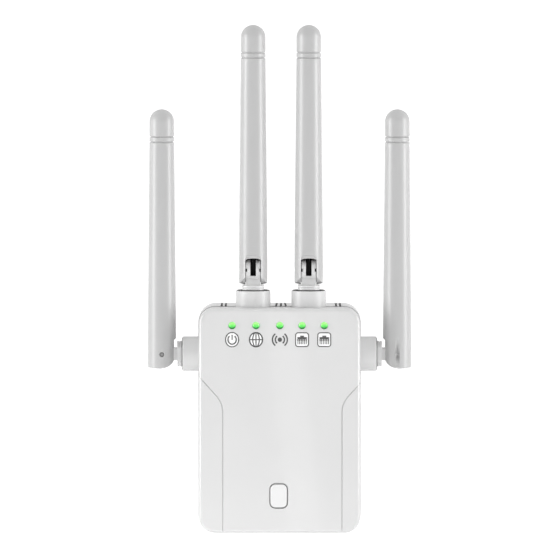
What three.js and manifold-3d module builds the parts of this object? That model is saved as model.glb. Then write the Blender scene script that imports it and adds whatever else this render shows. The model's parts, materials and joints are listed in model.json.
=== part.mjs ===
// Plug-in wifi range extender with four hinged whip antennas.
//
// Millimetres. +X is right seen from the front, -Y is the front, +Z is up. The origin is on the
// casing's flat back, midway between the two plug blades, so the wall outlet's face is the plane y = 0.
//
// The casing is a front cover and a rear shell that meet on a seam. Four round collars stand out of it,
// split by the same seam: two on the top wall and one on each side wall. Each collar traps the flange of
// an antenna base, which turns in it, and each base carries a whip that folds on two short pins.
import * as THREE from "three";
import { mergeVertices } from "three/addons/utils/BufferGeometryUtils.js";
import Module from "manifold-3d";

const wasm = await Module();
wasm.setup();

// ---------------------------------------------------------------- driving dimensions

// Casing
const BODY_WIDTH = 57.4;
const BODY_HEIGHT = 80;
const BODY_DEPTH = 29;
const COVER_DEPTH = 9; // the front cover's share of the depth
const COVER_INSET = 0.3; // how far the front cover stands inside the rear shell's outline
const CORNER_RADIUS = 6;
const FRONT_EDGE_ROUND = 0.9;
const BACK_EDGE_ROUND = 1.8;
const SIDE_WALL = 1.7;
const FRONT_WALL = 1.8;
const BACK_WALL = 2;
const SEAM_LIP_THICK = 0.8; // the front cover's lip that goes inside the rear shell
const SEAM_LIP_REACH = 1.4;

// Clearances
const SEAT_GAP = 0.1; // between flat faces that rest on each other
const SLIP_GAP = 0.2; // around a piece held in a hole
const TURN_GAP = 0.3; // between parts that turn past each other
const CUT_OVERRUN = 1; // how far a cutter runs past the face it opens

// Collars and the places where they stand
const COLLAR_RADIUS = 6.1;
const COLLAR_HEIGHT = 5.5;
const COLLAR_LIP_THICK = 2;
const TOP_COLLAR_SPACING = 19.6;
const TOP_COLLAR_SHIFT = 0.5; // the top pair and the vents stand this far right of the middle
const SIDE_COLLAR_DROP = 16.9; // below the casing's top

// Seal washer in the mouth of each collar
const WASHER_THICK = 0.35;
const WASHER_RIM = 0.3; // collar wall left outside the washer's recess

// Antenna base
const BASE_NECK_RADIUS = 3.3;
const BASE_FLANGE_RADIUS = 4.5;
const BASE_FLANGE_THICK = 1.6;
const BASE_RING_RADIUS = 4.55;
const BASE_RING_HEIGHT = 1.7;
const BASE_RING_FLATS = 7.66;
const BASE_RING_GROOVE = 0.35; // depth of the groove round the ring
const BASE_RING_GROOVE_WIDTH = 0.35;
const PIN_HEIGHT = 7.3; // hinge pin above the collar's rim
const TONGUE_WIDTH = 5.2;
const TONGUE_SIDE_GAP = 0.15; // between the tongue and each ear of the fork
const TONGUE_NECK_THICK = 4.3;
const TONGUE_EYE_RADIUS = 3.7;
const TONGUE_SLOT_WIDTH = 2;
const TONGUE_SLOT_BELOW_PIN = 2.1;
const PIN_RADIUS = 0.7;
const PIN_CLEARANCE = 0.12;

// Whip sleeve, measured from the hinge pin
const SLEEVE_TIP = 86.3;
const SLEEVE_END = 5.2; // from the pin to the end of the ears
const SLEEVE_FOOT_RADIUS = 5;
const SLEEVE_TOP_RADIUS = 4.36;
const SLEEVE_TAPER_START = 7;
const SLEEVE_END_DOME = 0.5; // how far the end's rim stands back from its middle
const SLEEVE_END_FACE_RADIUS = 3; // nearly flat middle of the end
const SLEEVE_END_FACE_RISE = 0.1;
const SLEEVE_GROOVES = [74.8, 76.6]; // two rings below the cap
const SLEEVE_GROOVE_WIDTH = 0.5;
const SLEEVE_GROOVE_DEPTH = 0.4;
const SLEEVE_BORE_RADIUS = 3.1;
const SLEEVE_BORE_TOP = 79;
const FORK_TOP_GAP = 0.5; // between the tongue's eye and the top of the fork's window
const FORK_FLAT = 4.2; // from the pin to the flat on the window's side
const FORK_FLAT_TOP = 5.6;
const FORK_FLAT_CURVE = 1.2; // of the flat's upper corner
const FORK_CORNER_RADIUS = 4.8; // the ears' lower corner, about the pin
const FORK_POCKET = 0.8; // small pocket at the foot of each ear

// Radiator inside the sleeve, measured from the hinge pin
const LEAD_RADIUS = 0.7;
const LEAD_END_GAP = 0.9; // lead and radiator tail both stop this far from the pin
const FERRULE_START = 11;
const FERRULE_LENGTH = 2.5;
const RADIATOR_TUBE_RADIUS = 2.2;
const RADIATOR_TUBE_END = 44;
const RADIATOR_TOP = 72;

// Button on the front
const BUTTON_WIDTH = 5.8;
const BUTTON_HEIGHT = 8.2;
const BUTTON_CORNER = 1.7;
const BUTTON_GAP = 0.35;
const BUTTON_PROUD = 0.2;
const BUTTON_ABOVE_BASE = 13.5;
const BUTTON_X = -0.3;
const BUTTON_TRAVEL = 0.5;
const BUTTON_FLANGE = 1; // how far the flange reaches past the hole
const BUTTON_FLANGE_THICK = 1;
const BUTTON_POST_RADIUS = 1.5;
const BUTTON_POST_LENGTH = 0.9;
const SWITCH_SIZE = 6;
const SWITCH_HEIGHT = 3.4;
const SWITCH_STEM_RADIUS = 1.7;
const SWITCH_STEM_DEPTH = 0.5; // how far the stem starts inside the switch

// Indicator lenses
const LENS_RADIUS = 1.25;
const LENS_PROUD = 0.55;
const LENS_FLANGE = 0.45; // how far the flange reaches past the lens
const LENS_FLANGE_THICK = 0.8;
const LENS_DROP = 6.4; // below the casing's top
const LENS_SHIFT = 0.13; // of the middle lens from the casing's middle
const LENS_PITCH_LEFT = 8.4;
const LENS_PITCH_RIGHT = 7.8;

// Decorative grooves on the front
const GROOVE_WIDTH = 0.4;
const GROOVE_DEPTH = 0.3;
// Each leaves the casing's side `startDrop` below its top, and its upright run is `inset` from the side.
const GROOVES = [
  { side: -1, inset: 8.7, startDrop: 24 },
  { side: 1, inset: 6.7, startDrop: 26.4 },
];
const GROOVE_SLANT = 42; // degrees from the vertical
const GROOVE_BEND_RADIUS = 8;

// Vent slots along the top
const VENT_WIDTH = 0.75;
const VENT_PITCH = 1.4;
const VENT_END_LAND = 3; // wall left at the back of each slot
const VENT_SIDE_OFFSET = 20.2;
const VENT_MIDDLE_COUNT = 3;
const VENT_SIDE_COUNT = 2;
const VENT_FAN = 1.2; // degrees that the middle slots splay towards the front

// Boards
const BOARD_THICK = 1.6;
const BOARD_MARGIN = 1.6; // between a board's edge and the casing's inner wall
const BOARD_BEHIND_SEAM = 1; // from the seam back to the main board's front face
const POWER_BOARD_FRONT = -6.6;
const POWER_BOARD_TOP = 29.5;
const POWER_BOARD_BOTTOM = -17.5;
const POWER_POST_RADIUS = 2;
const POWER_POST_EDGE = 1; // from the power board's edges in to its posts

// Pieces on the main board's front, each with its centre in x and z
const PROCESSOR = { width: 10, height: 10, thick: 1, x: 0, z: -13 };
const RADIO_SHIELD = { width: 24, height: 20, thick: 2.4, x: 0, z: 8 };
const LAN_TRANSFORMER = { width: 7, height: 14, thick: 2.2, x: -13.5, z: -20 };

// Pieces on the power board's front, and the header that joins the two boards
const TRANSFORMER = { width: 14, height: 15, thick: 9.4, x: 3, z: -3 };
const RECTIFIER = { width: 6, height: 5, thick: 2.6, x: -15, z: -4 };
const BULK_CAPACITOR = { radius: 4.2, length: 18, x: -15, z: 13 };
const OUTPUT_CAPACITOR = { radius: 3.2, length: 14, x: 17, z: -5 };
const BOARD_HEADER = { width: 8, height: 2.5, x: -15, z: -14.25 };

// Coaxial leads, as [inwards from the wall that the collar stands on, aside from the collar's axis].
// The upper leads step aside to pass between two indicator lenses.
const UPPER_LEAD_ROUTE = [[13, 2.5], [10, 2.5], [7.5, 2.5], [4.7, 1.25], [1.7, 0], [-2, 0]];
const SIDE_LEAD_ROUTE = [[11.7, 5], [9.2, 3.6], [6.2, 1.2], [3.2, 0], [-0.3, 0]];

// Casing screws and their bosses
const SCREW_INSET = 6; // from the casing's sides, top and base
const SCREW_HEAD_RADIUS = 2.5;
const SCREW_HEAD_HEIGHT = 1.6;
const SCREW_SHAFT_RADIUS = 1.15;
const SCREW_LENGTH = 10;
const SCREW_CROSS_LENGTH = 3;
const SCREW_CROSS_WIDTH = 0.7;
const SCREW_CROSS_DEPTH = 0.7;
const SCREW_RECESS_DEPTH = 2;
const SCREW_PAD_THICK = 2;
const BOSS_RADIUS = 3;
const BOSS_SHOULDER_RADIUS = 3.8;

// Mains plug, two flat blades
const BLADE_SPACING = 12.7;
const BLADE_THICK = 1.5;
const BLADE_WIDTH = 6.35;
const BLADE_LENGTH = 17;
const BLADE_HOLE_RADIUS = 1.6;
const BLADE_HOLE_FROM_TIP = 4;
const BLADE_TIP_CHAMFER = 1.6;
const BLADE_BLOCK = 3.4; // wall of the moulded block around each blade

// Network jacks in the base
const JACK_WIDTH = 15.2;
const JACK_DEPTH = 12.8;
const JACK_LENGTH = 18.2;
const JACK_APART = 2.6; // between the two jacks
const JACK_RECESS = 0.4; // its mouth below the casing's base
const PORT_WIDTH = 11.8;
const PORT_HEIGHT = 7;
const PORT_LENGTH = 13;
const PORT_FROM_BOARD = 1.7;
const LATCH_WIDTH = 6.2;
const LATCH_HEIGHT = 2.3;
const LATCH_LENGTH = 9;

// Reset switch behind a pinhole in the left wall
const RESET_HEIGHT = -10;
const RESET_HOLE_RADIUS = 1;
const RESET_TRAVEL = 0.3;
const RESET_SWITCH_SIZE = 4;
const RESET_SWITCH_INSET = 0.6; // from the main board's edge
const RESET_PLUNGER_DEPTH = 0.2; // how far the plunger starts inside the switch

// Rating label, left blank
const LABEL_WIDTH = 30;
const LABEL_HEIGHT = 14;
const LABEL_THICK = 0.15;
const LABEL_RECESS = 0.3;
const LABEL_DROP = 20; // its centre below the plug

// Facets on round parts
const FINE = 16;
const COARSE = 12;
const LEAD_STEPS = 14; // along each lead
const LEAD_SEGMENTS = 4; // round each half of a lead
const WELD_DISTANCE = 1e-4;

// ---------------------------------------------------------------- places worked out from them

const FRONT_Y = -BODY_DEPTH;
const SEAM_Y = FRONT_Y + COVER_DEPTH;
const TOP_Z = BODY_HEIGHT / 2;
const BASE_Z = -BODY_HEIGHT / 2;
const SIDE_X = BODY_WIDTH / 2;
const INNER_FRONT_Y = FRONT_Y + FRONT_WALL;
const INNER_BACK_Y = -BACK_WALL;
const INNER_SIDE_X = SIDE_X - SIDE_WALL;
const INNER_TOP_Z = TOP_Z - SIDE_WALL;
const INNER_BASE_Z = BASE_Z + SIDE_WALL;
const BOARD_FRONT = SEAM_Y + BOARD_BEHIND_SEAM;
const BOARD_BACK = BOARD_FRONT + BOARD_THICK;
const POWER_BOARD_BACK = POWER_BOARD_FRONT + BOARD_THICK;
const SIDE_COLLAR_Z = TOP_Z - SIDE_COLLAR_DROP;
const SCREW_X = SIDE_X - SCREW_INSET;
const SCREW_Z = TOP_Z - SCREW_INSET;
const BUTTON_Z = BASE_Z + BUTTON_ABOVE_BASE;
const SWITCH_FRONT = BOARD_FRONT - SEAT_GAP - SWITCH_HEIGHT;
const STEM_FRONT = INNER_FRONT_Y + SEAT_GAP + BUTTON_FLANGE_THICK + BUTTON_POST_LENGTH;
const RESET_AXIS = [BOARD_BACK + SEAT_GAP + RESET_SWITCH_SIZE / 2, RESET_HEIGHT]; // its y and z
const RESET_SWITCH_LEFT = -INNER_SIDE_X + BOARD_MARGIN + RESET_SWITCH_INSET;
const LENS_Z = TOP_Z - LENS_DROP;
const LENS_STEPS = [-2 * LENS_PITCH_LEFT, -LENS_PITCH_LEFT, 0, LENS_PITCH_RIGHT, 2 * LENS_PITCH_RIGHT];
const LENS_X = LENS_STEPS.map((step) => LENS_SHIFT + step);
const RING_FOOT = SLIP_GAP; // underside of the base's ring above the collar's rim
const RING_TOP = RING_FOOT + BASE_RING_HEIGHT;
const FLANGE_TOP = -WASHER_THICK - COLLAR_LIP_THICK - SLIP_GAP;
const FLANGE_FOOT = FLANGE_TOP - BASE_FLANGE_THICK;
const FORK_WIDTH = TONGUE_WIDTH + 2 * TONGUE_SIDE_GAP;
const FORK_BACK = TONGUE_EYE_RADIUS + TURN_GAP; // from the pin back to the fork's closed side
const FORK_TOP = TONGUE_EYE_RADIUS + FORK_TOP_GAP; // from the pin up to the top of its window
const JACK_SPACING = JACK_WIDTH + JACK_APART;
const QUARTER_TURN = Math.PI / 2;
const TOP_COLLAR_X = [-1, 1].map((side) => TOP_COLLAR_SHIFT + (side * TOP_COLLAR_SPACING) / 2);

// Where each antenna stands: the middle of its collar's rim, and how its base's own frame is turned.
// In that frame +Z runs out of the collar, X is the hinge pin and the whip folds towards -Y.
const ANTENNAS = [
  { name: "antenna_upper_left", at: [TOP_COLLAR_X[0], SEAM_Y, TOP_Z + COLLAR_HEIGHT], fold: 0 },
  { name: "antenna_upper_right", at: [TOP_COLLAR_X[1], SEAM_Y, TOP_Z + COLLAR_HEIGHT], fold: 0 },
  { name: "antenna_side_left", at: [-SIDE_X - COLLAR_HEIGHT, SEAM_Y, SIDE_COLLAR_Z], fold: QUARTER_TURN },
  { name: "antenna_side_right", at: [SIDE_X + COLLAR_HEIGHT, SEAM_Y, SIDE_COLLAR_Z], fold: QUARTER_TURN },
];

// ---------------------------------------------------------------- materials

function plastic(color, roughness = 0.4) {
  return new THREE.MeshStandardMaterial({ color, roughness, metalness: 0 });
}

function metal(color, roughness = 0.3) {
  return new THREE.MeshStandardMaterial({ color, roughness, metalness: 1 });
}

const GLOSS_WHITE = plastic(0xf2f2f2, 0.15);
const SATIN_WHITE = plastic(0xebebeb, 0.35);
const SLEEVE_WHITE = plastic(0xdedede, 0.35);
const GREEN_LENS = plastic(0x54e05a, 0.1);
const BLACK_RUBBER = plastic(0x1a1a1a, 0.8);
const BLACK_PLASTIC = plastic(0x202020, 0.5);
const BOARD_GREEN = plastic(0x1f5a35, 0.4);
const CAPACITOR_SLEEVE = plastic(0x23304a, 0.4);
const YELLOW_TAPE = plastic(0xd8b430, 0.5);
const BLANK_LABEL = plastic(0xf7f7f7, 0.6);
const STEEL = metal(0xb8b8b8);
const TIN_PLATE = metal(0xc9c9c4, 0.35);
const BRASS = metal(0xc8a45a);
const NICKEL = metal(0xcfcac0, 0.2);

// ---------------------------------------------------------------- solids

// A closed three.js geometry as a manifold-3d solid.
function solidOf(geometry) {
  const bare = new THREE.BufferGeometry();
  bare.setAttribute("position", geometry.getAttribute("position"));
  bare.setIndex(geometry.getIndex());
  const merged = mergeVertices(bare, WELD_DISTANCE);
  const mesh = new wasm.Mesh({
    numProp: 3,
    vertProperties: merged.attributes.position.array,
    triVerts: new Uint32Array(merged.index.array),
  });
  return new wasm.Manifold(mesh);
}

// A manifold-3d solid as a three.js geometry.
function geometryOf(solid) {
  const mesh = solid.getMesh();
  const geometry = new THREE.BufferGeometry();
  geometry.setAttribute("position", new THREE.BufferAttribute(mesh.vertProperties, 3));
  geometry.setIndex(new THREE.BufferAttribute(mesh.triVerts, 1));
  geometry.computeVertexNormals();
  return geometry;
}

function join(...solids) {
  return solids.reduce((whole, solid) => whole.add(solid));
}

function cut(solid, ...tools) {
  return tools.reduce((left, tool) => left.subtract(tool), solid);
}

function boxGeometry([x0, x1], [y0, y1], [z0, z1]) {
  const geometry = new THREE.BoxGeometry(x1 - x0, y1 - y0, z1 - z0);
  return geometry.translate((x0 + x1) / 2, (y0 + y1) / 2, (z0 + z1) / 2);
}

function box(x, y, z) {
  return solidOf(boxGeometry(x, y, z));
}

// Runs symmetrically about zero.
function about(centre, size) {
  return [centre - size / 2, centre + size / 2];
}

// Cylinders named for the axis they lie along. `run` is [from, to] on it; the centre gives the other two.
function cylinderZ(radius, run, [x, y] = [0, 0], facets = FINE) {
  const geometry = new THREE.CylinderGeometry(radius, radius, run[1] - run[0], facets);
  return solidOf(geometry.rotateX(QUARTER_TURN).translate(x, y, (run[0] + run[1]) / 2));
}

function cylinderX(radius, run, [y, z] = [0, 0], facets = FINE) {
  const geometry = new THREE.CylinderGeometry(radius, radius, run[1] - run[0], facets);
  return solidOf(geometry.rotateZ(QUARTER_TURN).translate((run[0] + run[1]) / 2, y, z));
}

function cylinderY(radius, run, [x, z] = [0, 0], facets = FINE) {
  const geometry = new THREE.CylinderGeometry(radius, radius, run[1] - run[0], facets);
  return solidOf(geometry.translate(x, (run[0] + run[1]) / 2, z));
}

// Turns a closed or axis-to-axis profile of [radius, height] points about Z.
function lathe(profile, facets = FINE) {
  const points = profile.map(([radius, height]) => new THREE.Vector2(radius, height));
  return solidOf(new THREE.LatheGeometry(points, facets).rotateX(QUARTER_TURN));
}

// A rectangle with round corners, centred on the drawing's origin.
function roundedRectangle(width, height, radius) {
  const x = width / 2 - radius;
  const y = height / 2 - radius;
  const shape = new THREE.Shape();
  shape.absarc(x, y, radius, 0, QUARTER_TURN);
  shape.absarc(-x, y, radius, QUARTER_TURN, 2 * QUARTER_TURN);
  shape.absarc(-x, -y, radius, 2 * QUARTER_TURN, 3 * QUARTER_TURN);
  shape.absarc(x, -y, radius, 3 * QUARTER_TURN, 4 * QUARTER_TURN);
  return shape;
}

// Stands a shape drawn in X and Z on end, from y0 to y1. With `round`, both ends get rounded edges.
function slabGeometry(shape, [y0, y1], round, curveSegments) {
  const geometry = new THREE.ExtrudeGeometry(shape, {
    depth: y1 - y0 - 2 * round,
    curveSegments,
    bevelEnabled: round > 0,
    bevelThickness: round,
    bevelSize: round,
    bevelOffset: -round,
    bevelSegments: 3,
  });
  return geometry.rotateX(QUARTER_TURN).translate(0, y1 - round, 0);
}

function slab(shape, run, round = 0, curveSegments = 3) {
  return solidOf(slabGeometry(shape, run, round, curveSegments));
}

// A shape drawn in Y and Z, as thick as `width` and centred on x = 0.
function plateAcrossX(shape, width, curveSegments = 5) {
  const geometry = new THREE.ExtrudeGeometry(shape, { depth: width, curveSegments, bevelEnabled: false });
  // the drawing's x becomes Y, its y becomes Z and its depth becomes X
  const turn = new THREE.Matrix4().makeBasis(
    new THREE.Vector3(0, 1, 0), new THREE.Vector3(0, 0, 1), new THREE.Vector3(1, 0, 0));
  return solidOf(geometry.applyMatrix4(turn).translate(-width / 2, 0, 0));
}

// ---------------------------------------------------------------- casing

// A cylinder on each collar's axis, from and to heights measured from the collar's rim.
function onEachCollar(radius, run) {
  return join(...ANTENNAS.map(({ at: [x, y, z], fold }) => {
    if (fold === 0) return cylinderZ(radius, [z + run[0], z + run[1]], [x, y]);
    const outward = Math.sign(x);
    const ends = [x + outward * run[0], x + outward * run[1]];
    return cylinderX(radius, [Math.min(...ends), Math.max(...ends)], [y, z]);
  }));
}

const collarFoot = -COLLAR_HEIGHT - SIDE_WALL;
const collars = onEachCollar(COLLAR_RADIUS, [collarFoot, 0]);
const collarHollows = join(
  onEachCollar(COLLAR_RADIUS - WASHER_RIM, [-WASHER_THICK, CUT_OVERRUN]),
  onEachCollar(BASE_NECK_RADIUS + TURN_GAP, [-WASHER_THICK - COLLAR_LIP_THICK - CUT_OVERRUN, 0]),
  onEachCollar(BASE_FLANGE_RADIUS + TURN_GAP, [collarFoot - CUT_OVERRUN, -WASHER_THICK - COLLAR_LIP_THICK]),
);
const everything = 2 * BODY_HEIGHT;
const aheadOfSeam = box([-everything, everything], [-everything, SEAM_Y], [-everything, everything]);
const behindSeam = box([-everything, everything], [SEAM_Y, everything], [-everything, everything]);

const screwPlaces = [-1, 1].flatMap((side) => [-1, 1].map((end) => [side * SCREW_X, end * SCREW_Z]));

function onEachScrew(radius, run, facets = COARSE) {
  return join(...screwPlaces.map((place) => cylinderY(radius, run, place, facets)));
}

// One of the front's two grooves as a strip: in from the casing's edge on a slant, round a bend and down.
function grooveStrip({ side, inset, startDrop }) {
  const slant = THREE.MathUtils.degToRad(GROOVE_SLANT);
  const rise = 1 / Math.tan(slant);
  const edge = new THREE.Vector2(SIDE_X + CUT_OVERRUN, TOP_Z - startDrop + CUT_OVERRUN * rise);
  const kneeX = SIDE_X - inset;
  const knee = new THREE.Vector2(kneeX, edge.y - (edge.x - kneeX) * rise);
  const tangent = GROOVE_BEND_RADIUS * Math.tan(slant / 2);
  const bendCentre = new THREE.Vector2(kneeX + GROOVE_BEND_RADIUS, knee.y - tangent);
  const shape = new THREE.Shape();
  const across = new THREE.Vector2(Math.cos(slant), -Math.sin(slant)).multiplyScalar(GROOVE_WIDTH / 2);
  const outer = GROOVE_BEND_RADIUS + GROOVE_WIDTH / 2;
  const inner = GROOVE_BEND_RADIUS - GROOVE_WIDTH / 2;
  shape.moveTo(edge.x - across.x, edge.y - across.y);
  shape.absarc(bendCentre.x, bendCentre.y, outer, Math.PI - slant, Math.PI);
  shape.lineTo(kneeX - GROOVE_WIDTH / 2, BASE_Z - CUT_OVERRUN);
  shape.lineTo(kneeX + GROOVE_WIDTH / 2, BASE_Z - CUT_OVERRUN);
  shape.absarc(bendCentre.x, bendCentre.y, inner, Math.PI, Math.PI - slant, true);
  shape.lineTo(edge.x + across.x, edge.y + across.y);
  const strip = slab(shape, [FRONT_Y - CUT_OVERRUN, FRONT_Y + GROOVE_DEPTH]);
  return side > 0 ? strip : strip.mirror([1, 0, 0]);
}

// The front button's outline, let out by `margin` all round.
function buttonOutline(margin) {
  const corner = BUTTON_CORNER + margin;
  return roundedRectangle(BUTTON_WIDTH + 2 * margin, BUTTON_HEIGHT + 2 * margin, corner);
}

function frontCover() {
  const width = BODY_WIDTH - 2 * COVER_INSET;
  const height = BODY_HEIGHT - 2 * COVER_INSET;
  const outline = roundedRectangle(width, height, CORNER_RADIUS - COVER_INSET);
  const hollow = roundedRectangle(2 * INNER_SIDE_X, 2 * INNER_TOP_Z, CORNER_RADIUS - SIDE_WALL);
  const lipOuter = roundedRectangle(
    2 * (INNER_SIDE_X - SLIP_GAP), 2 * (INNER_TOP_Z - SLIP_GAP), CORNER_RADIUS - SIDE_WALL - SLIP_GAP);
  const lipInset = SLIP_GAP + SEAM_LIP_THICK;
  const lipInner = roundedRectangle(
    2 * (INNER_SIDE_X - lipInset), 2 * (INNER_TOP_Z - lipInset), CORNER_RADIUS - SIDE_WALL - lipInset);
  const seamEnd = SEAM_Y - SEAT_GAP / 2;
  const outer = slab(outline, [FRONT_Y, SEAM_Y + CUT_OVERRUN + FRONT_EDGE_ROUND], FRONT_EDGE_ROUND);
  const skin = cut(
    outer.add(collars).intersect(aheadOfSeam),
    slab(hollow, [INNER_FRONT_Y, SEAM_Y + CUT_OVERRUN]),
    box([-everything, everything], [seamEnd, SEAM_Y + CUT_OVERRUN], [-everything, everything]),
  );
  const lip = cut(
    slab(lipOuter, [seamEnd - SEAM_LIP_REACH, SEAM_Y + SEAM_LIP_REACH]),
    slab(lipInner, [seamEnd - SEAM_LIP_REACH - CUT_OVERRUN, SEAM_Y + SEAM_LIP_REACH + CUT_OVERRUN]),
  );
  // the lip's foot is thickened out to the cover's wall, ahead of the seam only
  const lipFoot = cut(
    slab(hollow, [seamEnd - SEAM_LIP_REACH, seamEnd]),
    slab(lipInner, [seamEnd - SEAM_LIP_REACH - CUT_OVERRUN, SEAM_Y]),
  );
  const bossEnd = INNER_BACK_Y - SCREW_PAD_THICK - SEAT_GAP;
  const throughFront = [FRONT_Y - CUT_OVERRUN, INNER_FRONT_Y + CUT_OVERRUN];
  const bosses = join(
    onEachScrew(BOSS_SHOULDER_RADIUS, [INNER_FRONT_Y - SEAT_GAP, BOARD_FRONT - SEAT_GAP], FINE),
    onEachScrew(BOSS_RADIUS, [INNER_FRONT_Y, bossEnd]),
  );
  const openings = [
    collarHollows,
    onEachScrew(SCREW_SHAFT_RADIUS + SLIP_GAP / 2, [bossEnd - SCREW_LENGTH, CUT_OVERRUN]),
    slab(buttonOutline(BUTTON_GAP), throughFront, 0, 2).translate([BUTTON_X, 0, BUTTON_Z]),
    ...LENS_X.map((x) => cylinderY(LENS_RADIUS + SLIP_GAP, throughFront, [x, LENS_Z], COARSE)),
    ...GROOVES.map(grooveStrip),
  ];
  return cut(join(skin, lip, lipFoot, bosses), ...openings);
}

function ventSlots() {
  const runLength = SEAM_Y - CUT_OVERRUN + VENT_END_LAND;
  const throughTop = [INNER_TOP_Z - CUT_OVERRUN, TOP_Z + CUT_OVERRUN];
  const slots = [];
  const addRow = (centre, count, fan) => {
    for (let i = 0; i < count; i += 1) {
      const step = i - (count - 1) / 2;
      const slot = boxGeometry(about(0, VENT_WIDTH), [runLength, 0], throughTop);
      slot.rotateZ(THREE.MathUtils.degToRad(fan * step));
      slots.push(solidOf(slot.translate(centre + step * VENT_PITCH, -VENT_END_LAND, 0)));
    }
  };
  addRow(TOP_COLLAR_SHIFT, VENT_MIDDLE_COUNT, VENT_FAN);
  addRow(TOP_COLLAR_SHIFT - VENT_SIDE_OFFSET, VENT_SIDE_COUNT, 0);
  addRow(TOP_COLLAR_SHIFT + VENT_SIDE_OFFSET, VENT_SIDE_COUNT, 0);
  return join(...slots);
}

const bladePlaces = [-BLADE_SPACING / 2, BLADE_SPACING / 2];
const jackPlaces = [-JACK_SPACING / 2, JACK_SPACING / 2];
const jackRunY = [BOARD_BACK + SEAT_GAP, BOARD_BACK + SEAT_GAP + JACK_DEPTH];

function powerPosts() {
  const inset = POWER_POST_EDGE + POWER_POST_RADIUS;
  const x = INNER_SIDE_X - BOARD_MARGIN - inset;
  const heights = [POWER_BOARD_BOTTOM + inset, POWER_BOARD_TOP - inset];
  const run = [POWER_BOARD_BACK + SEAT_GAP, INNER_BACK_Y + SEAT_GAP];
  const places = [-x, x].flatMap((px) => heights.map((pz) => [px, pz]));
  return join(...places.map((place) => cylinderY(POWER_POST_RADIUS, run, place, COARSE)));
}

function rearShell() {
  const outline = roundedRectangle(BODY_WIDTH, BODY_HEIGHT, CORNER_RADIUS);
  const hollow = roundedRectangle(2 * INNER_SIDE_X, 2 * INNER_TOP_Z, CORNER_RADIUS - SIDE_WALL);
  const outer = slab(outline, [SEAM_Y - CUT_OVERRUN - BACK_EDGE_ROUND, 0], BACK_EDGE_ROUND);
  const seamFace = SEAM_Y + SEAT_GAP / 2;
  const skin = cut(
    outer.add(collars).intersect(behindSeam),
    slab(hollow, [SEAM_Y - CUT_OVERRUN, INNER_BACK_Y]),
    box([-everything, everything], [SEAM_Y - CUT_OVERRUN, seamFace], [-everything, everything]),
  );
  const padRun = [INNER_BACK_Y - SCREW_PAD_THICK, INNER_BACK_Y + SEAT_GAP];
  const screwPads = onEachScrew(BOSS_SHOULDER_RADIUS, padRun);
  const bladeBlock = box(
    about(0, BLADE_SPACING + BLADE_THICK + 2 * BLADE_BLOCK),
    [POWER_BOARD_BACK + SEAT_GAP, INNER_BACK_Y + SEAT_GAP],
    about(0, BLADE_WIDTH + 2 * BLADE_BLOCK));
  const openings = [
    collarHollows,
    ventSlots(),
    onEachScrew(SCREW_HEAD_RADIUS + SLIP_GAP, [-SCREW_RECESS_DEPTH, CUT_OVERRUN]),
    onEachScrew(SCREW_SHAFT_RADIUS + SLIP_GAP, [-everything / 2, CUT_OVERRUN]).intersect(behindSeam),
    ...bladePlaces.map((x) => box(
      about(x, BLADE_THICK + 2 * SEAT_GAP),
      [POWER_BOARD_BACK - CUT_OVERRUN, CUT_OVERRUN],
      about(0, BLADE_WIDTH + 2 * SEAT_GAP))),
    ...jackPlaces.map((x) => box(
      about(x, JACK_WIDTH + 2 * SLIP_GAP),
      [jackRunY[0] - SLIP_GAP, jackRunY[1] + SLIP_GAP],
      [BASE_Z - CUT_OVERRUN, INNER_BASE_Z + CUT_OVERRUN])),
    cylinderX(RESET_HOLE_RADIUS, [-SIDE_X - CUT_OVERRUN, -INNER_SIDE_X + CUT_OVERRUN], RESET_AXIS, COARSE),
    box(
      about(0, LABEL_WIDTH + 2 * SLIP_GAP),
      [-LABEL_RECESS, CUT_OVERRUN],
      about(-LABEL_DROP, LABEL_HEIGHT + 2 * SLIP_GAP)),
  ];
  return cut(join(skin, screwPads, bladeBlock, powerPosts()), ...openings);
}

// ---------------------------------------------------------------- controls and indicators

function wpsButton() {
  const flangeFront = INNER_FRONT_Y + SEAT_GAP;
  const flangeBack = flangeFront + BUTTON_FLANGE_THICK;
  return join(
    slab(buttonOutline(0), [FRONT_Y - BUTTON_PROUD, flangeBack], BUTTON_PROUD, 2),
    slab(buttonOutline(BUTTON_GAP + BUTTON_FLANGE), [flangeFront, flangeBack], 0, 1),
    cylinderY(BUTTON_POST_RADIUS, [flangeBack - SEAT_GAP, STEM_FRONT - SEAT_GAP], [0, 0], COARSE),
  ).translate([BUTTON_X, 0, BUTTON_Z]);
}

function wpsSwitch() {
  const bodyRun = [SWITCH_FRONT, BOARD_FRONT - SEAT_GAP];
  const wellRun = [SWITCH_FRONT - CUT_OVERRUN, SWITCH_FRONT + SWITCH_STEM_DEPTH + BUTTON_TRAVEL + SLIP_GAP];
  return cut(
    box(about(BUTTON_X, SWITCH_SIZE), bodyRun, about(BUTTON_Z, SWITCH_SIZE)),
    cylinderY(SWITCH_STEM_RADIUS + SLIP_GAP, wellRun, [BUTTON_X, BUTTON_Z], COARSE),
  );
}

function wpsSwitchStem() {
  const run = [STEM_FRONT, SWITCH_FRONT + SWITCH_STEM_DEPTH];
  return cylinderY(SWITCH_STEM_RADIUS, run, [BUTTON_X, BUTTON_Z], COARSE);
}

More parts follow.
